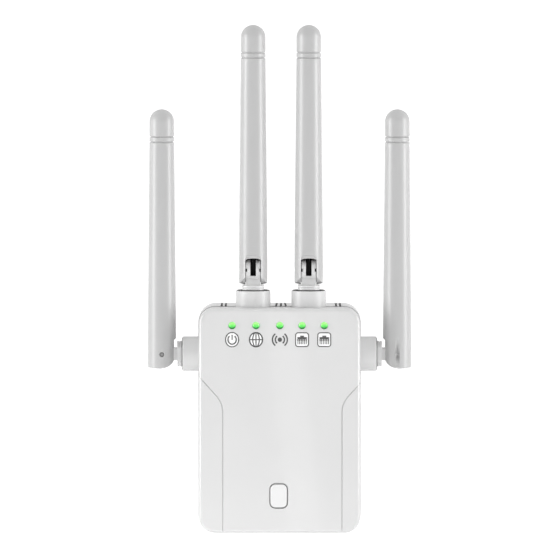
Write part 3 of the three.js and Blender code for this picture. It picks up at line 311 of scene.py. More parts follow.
def wound_film(name, hex_colour, turn_width, roughness):
    """Polyester tape or shrink sleeve: thin film, laid in turns or drawn tight, with faint edges."""
    material, tree, place = start_material(name)
    turns = add_node(tree, "ShaderNodeTexWave", {
        "Vector": (place, "Object"), "Scale": per_size(turn_width) / 20, "Distortion": 0.6},
        wave_type="BANDS", bands_direction="Z")
    tint = add_node(tree, "ShaderNodeMapRange", {
        "Value": (turns, "Fac"), "To Min": 0.82, "To Max": 1.0})
    shade = add_node(tree, "ShaderNodeVectorMath", {
        0: linear(hex_colour), "Scale": (tint, "Result")}, operation="SCALE")
    bump = add_node(tree, "ShaderNodeBump", {
        "Height": (turns, "Fac"), "Strength": 0.3, "Distance": 0.05 * MM})
    end_material(tree, {
        "Base Color": (shade, "Vector"), "Roughness": roughness, "Normal": (bump, "Normal"), "IOR": 1.5})
    return material


def pale_floor(name, colour, glow):
    """Matt pale studio floor: it takes the studio's light near the object, and glows evenly farther out."""
    material, tree, place = start_material(name)
    away = add_node(tree, "ShaderNodeVectorMath", {0: (place, "Object")}, operation="LENGTH")
    lit = add_node(tree, "ShaderNodeMapRange", {
        "Value": (away, "Value"), "From Min": 0.25, "From Max": 0.55, "To Min": 0.0, "To Max": glow})
    cloud = add_node(tree, "ShaderNodeTexNoise", {"Vector": (place, "Object"), "Scale": 3.0})
    tint = add_node(tree, "ShaderNodeMapRange", {
        "Value": (cloud, "Fac"), "To Min": 0.98, "To Max": 1.0})
    shade = add_node(tree, "ShaderNodeVectorMath", {
        0: colour, "Scale": (tint, "Result")}, operation="SCALE")
    end_material(tree, {
        "Base Color": (shade, "Vector"), "Roughness": 0.9, "Emission Color": (*colour, 1),
        "Emission Strength": (lit, "Result")})
    return material


# ---------------------------------------------------------------- mesh tools

def loft(name, rings, joined=False):
    """A closed skin over rings that hold as many points each. Its ends are capped, or joined together."""
    mesh = bmesh.new()
    grid = [[mesh.verts.new(point) for point in ring] for ring in rings]
    pairs = list(zip(grid, grid[1:]))
    if joined:
        pairs.append((grid[-1], grid[0]))
    else:
        mesh.faces.new(grid[0])
        mesh.faces.new(grid[-1])
    for near, far in pairs:
        for i, point in enumerate(near):
            after = (i + 1) % len(near)
            mesh.faces.new((point, near[after], far[after], far[i]))
    bmesh.ops.recalc_face_normals(mesh, faces=mesh.faces)
    data = bpy.data.meshes.new(name)
    mesh.to_mesh(data)
    mesh.free()
    piece = bpy.data.objects.new(name, data)
    bpy.context.scene.collection.objects.link(piece)
    return piece


def outline(width, height, corner, steps=12):
    """Points round a rectangle with round corners, centred on zero."""
    points = []
    for quarter, (side, end) in enumerate(((1, 1), (-1, 1), (-1, -1), (1, -1))):
        for i in range(steps + 1):
            angle = (quarter + i / steps) * QUARTER_TURN
            points.append((
                side * (width / 2 - corner) + corner * math.cos(angle),
                end * (height / 2 - corner) + corner * math.sin(angle)))
    return points


def end_rings(radius, steps=8):
    """(distance from the end, inset) along a rounded edge, from the end face inwards."""
    if radius <= 0:
        return [(0, 0)]
    angles = [QUARTER_TURN * i / steps for i in range(steps + 1)]
    return [(radius * (1 - math.cos(a)), radius * (1 - math.sin(a))) for a in angles]


def slab(name, width, height, corner, front, back, front_round=0, back_round=0, at=(0, 0), steps=12):
    """A rounded rectangle seen from the front, standing from y = front to y = back."""
    rings = [(front + depth, inset) for depth, inset in end_rings(front_round)]
    rings += [(back - depth, inset) for depth, inset in reversed(end_rings(back_round))]
    return loft(name, [
        [(at[0] + x, y, at[1] + z) for x, z in outline(
            width - 2 * inset, height - 2 * inset, max(corner - inset, 0.02 * MM), steps)]
        for y, inset in rings])


def turned(name, profile, steps=64, joined=False):
    """A solid turned about Z from (radius, height) points. The end radii are above zero."""
    angles = [FULL_TURN * i / steps for i in range(steps)]
    return loft(name, [
        [(radius * math.cos(a), radius * math.sin(a), height) for a in angles]
        for radius, height in profile], joined)


def rod(name, radius, start, end, steps=32):
    """A plain round bar between two points."""
    start, end = Vector(start), Vector(end)
    piece = turned(name, [(radius, 0), (radius, (end - start).length)], steps)
    place(piece, Matrix.Translation(start) @ (end - start).to_track_quat("Z", "Y").to_matrix().to_4x4())
    return piece


def block(name, low, high):
    """A plain box between two corners."""
    (x0, y0, z0), (x1, y1, z1) = low, high
    corners = [(x0, z0), (x1, z0), (x1, z1), (x0, z1)]
    return loft(name, [[(x, y, z) for x, z in corners] for y in (y0, y1)])


def place(piece, matrix):
    """Moves a piece's points, so that its own origin stays at the frame's."""
    piece.data.transform(matrix)
    return piece


def settle(piece):
    """Applies the piece's modifiers."""
    seen = piece.evaluated_get(bpy.context.evaluated_depsgraph_get())
    data = bpy.data.meshes.new_from_object(seen)
    piece.modifiers.clear()
    old = piece.data
    piece.data = data
    data.name = piece.name
    bpy.data.meshes.remove(old)


def combine(piece, others, operation):
    """Joins solids to a piece or cuts them from it, and removes them."""
    for other in others:
        boolean = piece.modifiers.new(operation.lower(), "BOOLEAN")
        boolean.solver = "EXACT"
        boolean.operation = operation
        boolean.object = other
    settle(piece)
    for other in others:
        bpy.data.objects.remove(other)
    return piece


def join(piece, *others):
    return combine(piece, others, "UNION")


def cut(piece, *others):
    return combine(piece, others, "DIFFERENCE")


def finish_piece(piece, material, body, slot, *nodes, sharp=32):
    """Shades a piece, gives it its material and body, and hides the CAD nodes that it stands for."""
    welded = bmesh.new()
    welded.from_mesh(piece.data)
    bmesh.ops.remove_doubles(welded, verts=welded.verts, dist=0.004 * MM)
    bmesh.ops.dissolve_degenerate(welded, edges=welded.edges, dist=0.002 * MM)
    welded.to_mesh(piece.data)
    welded.free()
    piece.data.materials.clear()
    piece.data.materials.append(material)
    piece.data.shade_smooth()
    piece.data.set_sharp_from_angle(angle=math.radians(sharp))
    weighted = piece.modifiers.new("weighted normals", "WEIGHTED_NORMAL")
    weighted.keep_sharp = True
    weighted.weight = 100
    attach(piece, body)
    if nodes:
        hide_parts(*nodes)
    return piece


def repaint(material, *nodes):
    """Gives CAD nodes whose shape is right a better material."""
    for node in nodes:
        piece = frame["nodes"][node]
        piece.data.materials.clear()
        piece.data.materials.append(material)


# ---------------------------------------------------------------- settings

class ExtenderCasing(bpy.types.PropertyGroup):
    corner_radius: FloatProperty(
        name="Corner radius", description="Radius of the casing's four corners seen from the front",
        default=6 * MM, unit="LENGTH")
    cover_inset: FloatProperty(
        name="Cover inset", description="Step from the rear shell in to the front cover",
        default=0.3 * MM, unit="LENGTH")
    front_round: FloatProperty(
        name="Front edge", description="Rounding of the front cover's edge",
        default=1.3 * MM, unit="LENGTH")
    back_round: FloatProperty(
        name="Back edge", description="Rounding of the rear shell's edge",
        default=1.8 * MM, unit="LENGTH")
    wall: FloatProperty(
        name="Wall", description="Thickness of the casing's walls", default=1.7 * MM, unit="LENGTH")
    groove_width: FloatProperty(
        name="Groove width", description="Width of the two grooves on the front",
        default=0.42 * MM, unit="LENGTH")
    groove_depth: FloatProperty(
        name="Groove depth", description="Depth of the two grooves on the front",
        default=0.3 * MM, unit="LENGTH")
    left_groove_inset: FloatProperty(
        name="Left groove inset", description="From the casing's left side to its groove's upright run",
        default=8.7 * MM, unit="LENGTH")
    right_groove_inset: FloatProperty(
        name="Right groove inset", description="From the casing's right side to its groove's upright run",
        default=6.7 * MM, unit="LENGTH")
    left_groove_start: FloatProperty(
        name="Left groove start", description="From the casing's top down to the left groove's start",
        default=24 * MM, unit="LENGTH")
    right_groove_start: FloatProperty(
        name="Right groove start", description="From the casing's top down to the right groove's start",
        default=26.4 * MM, unit="LENGTH")
    vent_width: FloatProperty(
        name="Vent width", description="Width of each slot along the top", default=0.75 * MM, unit="LENGTH")
    vent_pitch: FloatProperty(
        name="Vent pitch", description="Spacing of the slots along the top",
        default=1.4 * MM, unit="LENGTH")


class ExtenderAntenna(bpy.types.PropertyGroup):
    foot_radius: FloatProperty(
        name="Foot radius", description="Radius of each whip at its hinge",
        default=5 * MM, unit="LENGTH")
    top_radius: FloatProperty(
        name="Top radius", description="Radius of each whip below its cap",
        default=4.36 * MM, unit="LENGTH")
    tip: FloatProperty(
        name="Tip", description="From the hinge pin to the whip's tip", default=86.3 * MM, unit="LENGTH")
    fork_window: FloatProperty(
        name="Fork window", description="Width of the fork's window", default=5.5 * MM, unit="LENGTH")
    tongue_width: FloatProperty(
        name="Tongue width", description="Width of the base's tongue", default=5.2 * MM, unit="LENGTH")


class ExtenderFinish(bpy.types.PropertyGroup):
    casing: FloatVectorProperty(
        name="Casing", description="Colour of the casing", default=linear("D1D1D1"), subtype="COLOR")
    button: FloatVectorProperty(
        name="Button", description="Colour of the button", default=linear("DEDEDE"), subtype="COLOR")
    whips: FloatVectorProperty(
        name="Whips", description="Colour of the whips", default=linear("B7B7B7"), subtype="COLOR")
    hinges: FloatVectorProperty(
        name="Hinges", description="Colour of the antenna bases", default=linear("DEDEDE"), subtype="COLOR")
    lamps: FloatVectorProperty(
        name="Lamps", description="Colour of the lamps", default=linear("5BE35A"), subtype="COLOR")
    ink: FloatVectorProperty(
        name="Ink", description="Colour of the symbols", default=linear("505050"), subtype="COLOR")
    grounds: FloatVectorProperty(
        name="Grounds", description="Colour of the patches under the symbols",
        default=linear("F2F2F2"), subtype="COLOR")


class ExtenderStudio(bpy.types.PropertyGroup):
    lens: FloatProperty(
        name="Lens", description="Focal length of the camera, in millimetres", default=400, min=1)
    elevation: FloatProperty(
        name="Elevation", description="Height of the camera above level",
        default=math.radians(3.3), subtype="ANGLE")
    frame_width: FloatProperty(
        name="Frame width", description="Width of the picture at the antennas",
        default=197.6 * MM, unit="LENGTH")
    surround: FloatProperty(
        name="Surround", description="Strength of the light from all round", default=0.17, min=0)
    backdrop: FloatProperty(
        name="Backdrop", description="Strength of the light from behind", default=0.42, min=0)
    overhead: FloatProperty(
        name="Overhead", description="Strength added to the light from overhead", default=0.95, min=0)
    horizon: FloatProperty(
        name="Horizon", description="Strength added to the light from low behind", default=0.85, min=0)
    softboxes: FloatProperty(
        name="Softboxes", description="Power of each side softbox, in watts", default=7.6, min=0)
    front_card: FloatProperty(
        name="Front cards", description="Power of the cards in front, in watts for each metre of width",
        default=0.22, min=0)
    low_card: FloatProperty(
        name="Low card", description="Power of the card low in front, in watts", default=0.04, min=0)
    floor: FloatVectorProperty(
        name="Floor", description="Colour of the floor", default=linear("F2F2F2"), subtype="COLOR")
    floor_glow: FloatProperty(
        name="Floor glow", description="Light that the floor gives out itself", default=0.44, min=0)


# ---------------------------------------------------------------- pieces

def collar_solids(name):
    """The four collars as full round bosses, each with an eased rim."""
    rim_round = 0.35 * MM
    profile = [(COLLAR_RADIUS, -COLLAR_HEIGHT - 1.5 * MM)]
    profile += [
        (COLLAR_RADIUS - inset, -depth) for depth, inset in reversed(end_rings(rim_round, 4))]
    collars = []
    for antenna in ANTENNAS:
        collar = turned(name, profile, 96)
        collars.append(place(collar, frames_of(antenna)[0]))
    return collars


def collar_bores(name):
    """What is cut from the collars: the washer's recess, the neck's hole and the flange's chamber."""
    bores = []
    for antenna in ANTENNAS:
        profile = [
            (4.8 * MM, -8 * MM), (4.8 * MM, -2.35 * MM), (3.6 * MM, -2.35 * MM), (3.6 * MM, -0.35 * MM),
            (5.8 * MM, -0.35 * MM), (5.8 * MM, 1 * MM)]
        bores.append(place(turned(name, profile, 64), frames_of(antenna)[0]))
    return bores


def groove_cutters(casing, side, inset, start_drop):
    """Tools for one groove: a bar with sloping sides along its route on the front, and a slit that takes
    it round the cover's edge and back to the seam."""
    slant = math.radians(42)
    start_z = TOP_Z - start_drop
    edge_x = SIDE_X - casing.cover_inset
    knee_x = SIDE_X - inset
    bend = 8 * MM
    knee_z = start_z - (SIDE_X - knee_x) / math.tan(slant)
    bend_z = knee_z - bend * math.tan(slant / 2)
    route = [(edge_x, start_z - (SIDE_X - edge_x) / math.tan(slant))]
    for i in range(13):
        angle = math.pi - slant + slant * i / 12
        route.append((knee_x + bend + bend * math.cos(angle), bend_z + bend * math.sin(angle)))
    route.append((knee_x, -TOP_Z - 1 * MM))
    top, foot = casing.groove_width / 2, casing.groove_width / 4
    rings = []
    for i, (x, z) in enumerate(route):
        before, after = route[max(i - 1, 0)], route[min(i + 1, len(route) - 1)]
        along = Vector((after[0] - before[0], after[1] - before[1])).normalized()
        across = Vector((-along.y, along.x))
        section = [
            (-top * 1.6, -0.5 * MM), (-top, 0), (-foot, casing.groove_depth),
            (foot, casing.groove_depth), (top, 0), (top * 1.6, -0.5 * MM)]
        rings.append([
            (side * (x + across.x * offset), FRONT_Y + depth, z + across.y * offset)
            for offset, depth in section])
    bar = loft("groove_bar", rings)
    slit_z = route[0][1]
    slit = block(
        "groove_slit",
        (min(side * (edge_x - 0.3 * MM), side * (edge_x + 1 * MM)), FRONT_Y - 1 * MM, slit_z - top),
        (max(side * (edge_x - 0.3 * MM), side * (edge_x + 1 * MM)), SEAM_Y + 1 * MM, slit_z + top))
    return [bar, slit]


def flared_hole(name, width, height, corner, at, flare=0.12 * MM):
    """A hole's tool: straight through the front wall, with an eased edge at the front face."""
    rings = []
    for y, grow in ((FRONT_Y - 1 * MM, 1 * MM + flare), (FRONT_Y + flare, 0), (FRONT_Y + 4 * MM, 0)):
        rings.append([
            (at[0] + x, y, at[1] + z)
            for x, z in outline(width + 2 * grow, height + 2 * grow, corner + grow, 8)])
    return loft(name, rings)


def button_place():
    low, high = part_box("wps_switch_stem")
    return (low.x + high.x) / 2, (low.z + high.z) / 2


BUTTON_WIDTH, BUTTON_HEIGHT, BUTTON_CORNER, BUTTON_GAP = 5.8 * MM, 8.2 * MM, 1.7 * MM, 0.35 * MM
SCREW_PLACES = [middle(f"casing_screw_{i + 1}") for i in range(4)]
FAR = 200 * MM


class EXTENDER_OT_front_cover(bpy.types.Operator):
    """Make the front cover: a rounded tray with half of each collar, two grooves and its holes"""
    bl_idname = "extender.front_cover"
    bl_label = "Front Cover"

    def execute(self, context):
        casing = context.scene.extender_casing
        inset = casing.cover_inset
        width, height = 2 * (SIDE_X - inset), 2 * (TOP_Z - inset)
        cover = slab(
            "cover_moulding", width, height, casing.corner_radius - inset, FRONT_Y, SEAM_Y + 4 * MM,
            casing.front_round, 0, steps=20)
        join(cover, *collar_solids("collar"))
        hollow = slab(
            "hollow", 2 * (SIDE_X - casing.wall), 2 * (TOP_Z - casing.wall),
            casing.corner_radius - casing.wall, FRONT_Y + 1.8 * MM, SEAM_Y + 6 * MM)
        beyond = block("beyond_seam", (-FAR, SEAM_Y - SEAM_GAP, -FAR), (FAR, FAR, FAR))
        cut(cover, hollow, beyond)
        bosses = [
            rod("boss", 3 * MM, (p.x, FRONT_Y + 1 * MM, p.z), (p.x, BACK_Y - 4.1 * MM, p.z))
            for p in SCREW_PLACES]
        join(cover, *bosses)
        lens_size, lens_flare = 2 * LENS_HOLE_RADIUS, 0.08 * MM
        holes = [
            flared_hole(
                "lamp_hole", lens_size, lens_size, lens_size / 2,
                (middle(f"led_lens_{use}").x, middle(f"led_lens_{use}").z), lens_flare)
            for use in LAMPS]
        button_hole = flared_hole(
            "button_hole", BUTTON_WIDTH + 2 * BUTTON_GAP, BUTTON_HEIGHT + 2 * BUTTON_GAP,
            BUTTON_CORNER + BUTTON_GAP, button_place())
        screw_holes = [
            rod("screw_hole", 1.25 * MM, (p.x, BACK_Y - 14.5 * MM, p.z), (p.x, BACK_Y, p.z))
            for p in SCREW_PLACES]
        cut(cover, *collar_bores("bore"), *holes, button_hole, *screw_holes,
            *groove_cutters(casing, -1, casing.left_groove_inset, casing.left_groove_start),
            *groove_cutters(casing, 1, casing.right_groove_inset, casing.right_groove_start))
        finish = context.scene.extender_finish
        material = moulded_abs("moulded ABS, polished, front", tuple(finish.casing), 0.035, 0.05, 0.4)
        finish_piece(cover, material, "casing", "cover_abs", "front_cover")
        self.flatten_front(cover)
        return {"FINISHED"}

    def flatten_front(self, cover):
        """Sharpens the border of the flat front, so that its gloss mirrors as a plane does."""
        straight_ahead = -0.9999  # a normal's Y part, where -1 faces the front exactly
        shaded = bmesh.new()
        shaded.from_mesh(cover.data)
        for edge in shaded.edges:
            flat = [face.normal.y < straight_ahead for face in edge.link_faces]
            if any(flat) and not all(flat):
                edge.smooth = False
        shaded.to_mesh(cover.data)
        shaded.free()


class EXTENDER_OT_rear_shell(bpy.types.Operator):
    """Make the rear shell: a rounded tray with the collars' other halves, vents and openings"""
    bl_idname = "extender.rear_shell"
    bl_label = "Rear Shell"

    def execute(self, context):
        casing = context.scene.extender_casing
        shell = slab(
            "shell_moulding", 2 * SIDE_X, 2 * TOP_Z, casing.corner_radius, SEAM_Y - 4 * MM, BACK_Y,
            0, casing.back_round, steps=20)
        join(shell, *collar_solids("collar"))
        hollow = slab(
            "hollow", 2 * (SIDE_X - casing.wall), 2 * (TOP_Z - casing.wall),
            casing.corner_radius - casing.wall, SEAM_Y - 6 * MM, BACK_Y - 2 * MM)
        ahead = block("ahead_of_seam", (-FAR, -FAR, -FAR), (FAR, SEAM_Y + SEAM_GAP, FAR))
        cut(shell, hollow, ahead)
        pads = [
            rod("pad", 3.8 * MM, (p.x, BACK_Y - 4 * MM, p.z), (p.x, BACK_Y - 1 * MM, p.z))
            for p in SCREW_PLACES]
        join(shell, *pads)
        cut(shell, *collar_bores("bore"), *self.vents(casing), *self.back_openings(), *self.base_openings())
        finish = context.scene.extender_finish
        material = moulded_abs("moulded ABS, polished, rear", tuple(finish.casing), 0.3)
        finish_piece(shell, material, "casing", "shell_abs", "rear_shell")
        return {"FINISHED"}

    def vents(self, casing):
        """Slots along the top: three that splay slightly in the middle and two at each side."""
        slots = []
        side_offset = 20.2 * MM
        shift = (middle("antenna_upper_left_washer").x + middle("antenna_upper_right_washer").x) / 2
        for offset, count, fan in ((0, 3, 1.2), (-side_offset, 2, 0), (side_offset, 2, 0)):
            for i in range(count):
                step = i - (count - 1) / 2
                half = casing.vent_width / 2
                slot = block("vent", (-half, SEAM_Y + 2 * MM, TOP_Z - 4 * MM), (half, 0, TOP_Z + 1 * MM))
                turn = Matrix.Rotation(math.radians(fan * step), 4, "Z")
                along = Matrix.Translation((shift + offset + step * casing.vent_pitch, BACK_Y - 3 * MM, 0))
                slots.append(place(slot, along @ turn))
        return slots

    def back_openings(self):
        """Recesses for the screws and the label, and the slots that the blades stand in."""
        tools = []
        for p in SCREW_PLACES:
            tools.append(turned("screw_recess", [
                (2.7 * MM, 0), (2.7 * MM, 1.85 * MM), (3.0 * MM, 2.15 * MM), (3.0 * MM, 3 * MM)], 48))
            tilt = Matrix.Rotation(-QUARTER_TURN, 4, "X")
            place(tools[-1], Matrix.Translation((p.x, BACK_Y - 2 * MM, p.z)) @ tilt)
            tools.append(rod("screw_way", 1.4 * MM, (p.x, BACK_Y - 6 * MM, p.z), (p.x, BACK_Y, p.z)))
        for side in ("left", "right"):
            low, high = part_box("plug_blade_" + side)
            gap = 0.1 * MM
            tools.append(block(
                "blade_slot", (low.x - gap, BACK_Y - 8 * MM, low.z - gap),
                (high.x + gap, BACK_Y + 1 * MM, high.z + gap)))
        low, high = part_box("rating_label")
        size = high - low
        centre = (low + high) / 2
        tools.append(slab(
            "label_recess", size.x + 0.4 * MM, size.z + 0.4 * MM, 1.2 * MM, BACK_Y - 0.3 * MM,
            BACK_Y + 1 * MM, at=(centre.x, centre.z), steps=8))
        return tools

    def base_openings(self):
        """The openings round the two network jacks, and the pinhole for reset."""
        tools = []
        for use in ("wan", "lan"):
            low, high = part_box("rj45_jack_" + use)
            gap = 0.2 * MM
            tools.append(block(
                "jack_opening", (low.x - gap, low.y - gap, -TOP_Z - 1 * MM),
                (high.x + gap, high.y + gap, -TOP_Z + 4 * MM)))
        hole = middle("reset_plunger")
        tools.append(rod(
            "reset_hole", 1 * MM, (-SIDE_X - 1 * MM, hole.y, hole.z), (-SIDE_X + 4 * MM, hole.y, hole.z)))
        return tools


class EXTENDER_OT_button(bpy.types.Operator):
    """Make the push button low on the front, with the flange that keeps it in"""
    bl_idname = "extender.button"
    bl_label = "Button"

    def execute(self, context):
        low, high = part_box("wps_button")
        at = button_place()
        button = slab(
            "button_cap", BUTTON_WIDTH, BUTTON_HEIGHT, BUTTON_CORNER, low.y, FRONT_Y + 2.4 * MM,
            0.4 * MM, 0, at)
        flange = slab(
            "flange", high.x - low.x, high.z - low.z, 1.5 * MM, FRONT_Y + 1.9 * MM, FRONT_Y + 2.9 * MM,
            at=at)
        post = rod("post", 1.5 * MM, (at[0], FRONT_Y + 2.5 * MM, at[1]), (at[0], high.y, at[1]))
        join(button, flange, post)
        finish = context.scene.extender_finish
        material = moulded_abs("moulded ABS, polished, button", tuple(finish.button), 0.22)
        finish_piece(button, material, "wps_button", "button_abs", "wps_button")
        return {"FINISHED"}


class EXTENDER_OT_lamps(bpy.types.Operator):
    """Make the five green light pipes that show as lamps on the front"""
    bl_idname = "extender.lamps"
    bl_label = "Lamps"

    def execute(self, context):
        finish = context.scene.extender_finish
        material = lit_polycarbonate("polycarbonate light pipe, lit green", tuple(finish.lamps), 0.22)
        radius, proud = LENS_RADIUS, 0.55 * MM
        sphere = (radius ** 2 + proud ** 2) / (2 * proud)
        half_angle = math.asin(radius / sphere)
        for use in LAMPS:
            low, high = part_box(f"led_lens_{use}")
            # height here is the distance back from the dome's top
            profile = []
            for i in range(9):
                angle = half_angle * max(i, 0.15) / 8
                profile.append((sphere * math.sin(angle), sphere * (1 - math.cos(angle))))
            profile += [
                (radius, 2.45 * MM), (1.7 * MM, 2.45 * MM), (1.7 * MM, 3.25 * MM), (radius, 3.25 * MM),
                (radius, high.y - low.y)]
            lens = turned(f"light_pipe_{use}", profile, 40)
            centre = (low + high) / 2
            tilt = Matrix.Rotation(-QUARTER_TURN, 4, "X")
            place(lens, Matrix.Translation((centre.x, low.y, centre.z)) @ tilt)
            finish_piece(lens, material, "casing", "lens_polycarbonate", f"led_lens_{use}")
        return {"FINISHED"}


class EXTENDER_OT_symbols(bpy.types.Operator):
    """Print the five plain symbols under the lamps"""
    bl_idname = "extender.symbols"
    bl_label = "Symbols"

    DROP = 4.95 * MM  # from the lamps' centres down to the symbols' centres
    TALL = 1.1  # the round symbols are drawn a little taller than wide

    def execute(self, context):
        ink = printed_ink("pad-printed ink, grey", tuple(context.scene.extender_finish.ink))
        ground_ink = printed_ink("pad-printed ink, white", tuple(context.scene.extender_finish.grounds))
        drawings = {
            "power": self.power, "internet": self.globe, "wireless": self.waves,
            "wan": self.socket, "lan": self.socket}
        for use, draw in drawings.items():
            lamp = middle(f"led_lens_{use}")
            strokes = draw()
            symbol = strokes[0]
            if len(strokes) > 1:
                join(symbol, *strokes[1:])
            symbol.name = f"symbol_{use}"
            centre = Matrix.Translation((lamp.x, FRONT_Y, lamp.z - self.DROP))
            place(symbol, centre)
            finish_piece(symbol, ink, "casing", "black_plastic")
            if use != "wireless":
                ground = self.ground(f"ground_{use}", use in ("wan", "lan"))
                finish_piece(place(ground, centre), ground_ink, "casing", "blank_label")
        return {"FINISHED"}

    def ground(self, name, square):
        """A white patch under a symbol, thinner than its lines."""
        film = 0.01 * MM
        if square:
            points = outline(4.5 * MM, 4.8 * MM, 0.9 * MM, 6)
        else:
            wide, tall = 2.25 * MM, 2.25 * MM * self.TALL
            points = [
                (wide * math.cos(FULL_TURN * i / 48), tall * math.sin(FULL_TURN * i / 48))
                for i in range(48)]
        return loft(name, [[(x, y, z) for x, z in points] for y in (-film, film)])

    def stroke(self, points, width, looped=False):
        """A line of ink along points, with square ends, or right round when looped."""
        rings = []
        count = len(points)
        for i, (x, z) in enumerate(points):
            before = points[i - 1] if looped or i else points[0]
            after = points[(i + 1) % count] if looped or i < count - 1 else points[-1]
            along = Vector((after[0] - before[0], after[1] - before[1])).normalized()
            across = Vector((-along.y, along.x)) * width / 2
            film = 0.02 * MM
            rings.append([
                (x + across.x, -film, z + across.y), (x - across.x, -film, z - across.y),
                (x - across.x, film, z - across.y), (x + across.x, film, z + across.y)])
        return loft("stroke", rings, looped)

    def arc(self, across, up, start, end, width):
        """Part of an ellipse, with angles in degrees anticlockwise from the right."""
        whole = end - start >= 360
        steps = max(8, int((end - start) / 7.5))
        angles = [math.radians(start + (end - start) * i / steps) for i in range(steps + (not whole))]
        return self.stroke([(across * math.cos(a), up * math.sin(a)) for a in angles], width, whole)

    def power(self):
        ring, inner = 2.3 * MM, 1.45 * MM
        return [
            self.arc(ring, ring * self.TALL, 0, 360, 0.38 * MM),
            self.arc(inner, inner * self.TALL, 128, 412, 0.46 * MM),
            self.stroke([(0, 1.75 * MM), (0, -0.1 * MM)], 0.4 * MM)]

    def globe(self):
        ring, meridian = 2.28 * MM, 1.15 * MM
        tall = ring * self.TALL
        return [
            self.arc(ring, tall, 0, 360, 0.46 * MM),
            self.arc(meridian, tall, 0, 360, 0.4 * MM),
            self.stroke([(0, tall), (0, -tall)], 0.4 * MM),
            self.stroke([(ring, 0), (-ring, 0)], 0.4 * MM)]

    def waves(self):
        dot = self.arc(0.38 * MM, 0.42 * MM, 0, 360, 0.74 * MM)
        strokes = [dot]
        for radius in (1.6 * MM, 2.62 * MM):
            for start in (-52, 128):
                strokes.append(self.arc(radius, radius, start, start + 104, 0.5 * MM))
        return strokes

    def socket(self):
        frame_line = 0.37 * MM
        corners = outline(4.55 * MM, 4.85 * MM, 0.9 * MM, 6)
        strokes = [self.stroke(corners, frame_line, True)]
        strokes.append(self.stroke([(-0.66 * MM, 1.16 * MM), (0.66 * MM, 1.16 * MM)], 0.52 * MM))
        strokes.append(self.stroke([(-1.68 * MM, 0.56 * MM), (1.68 * MM, 0.56 * MM)], 0.72 * MM))
        for i in range(6):
            x = (i - 2.5) * 0.585 * MM
            strokes.append(self.stroke([(x, 0.3 * MM), (x, -0.5 * MM)], 0.43 * MM))
            strokes.append(self.stroke([(x, -0.4 * MM), (x, -1.6 * MM)], 0.28 * MM))
        return strokes


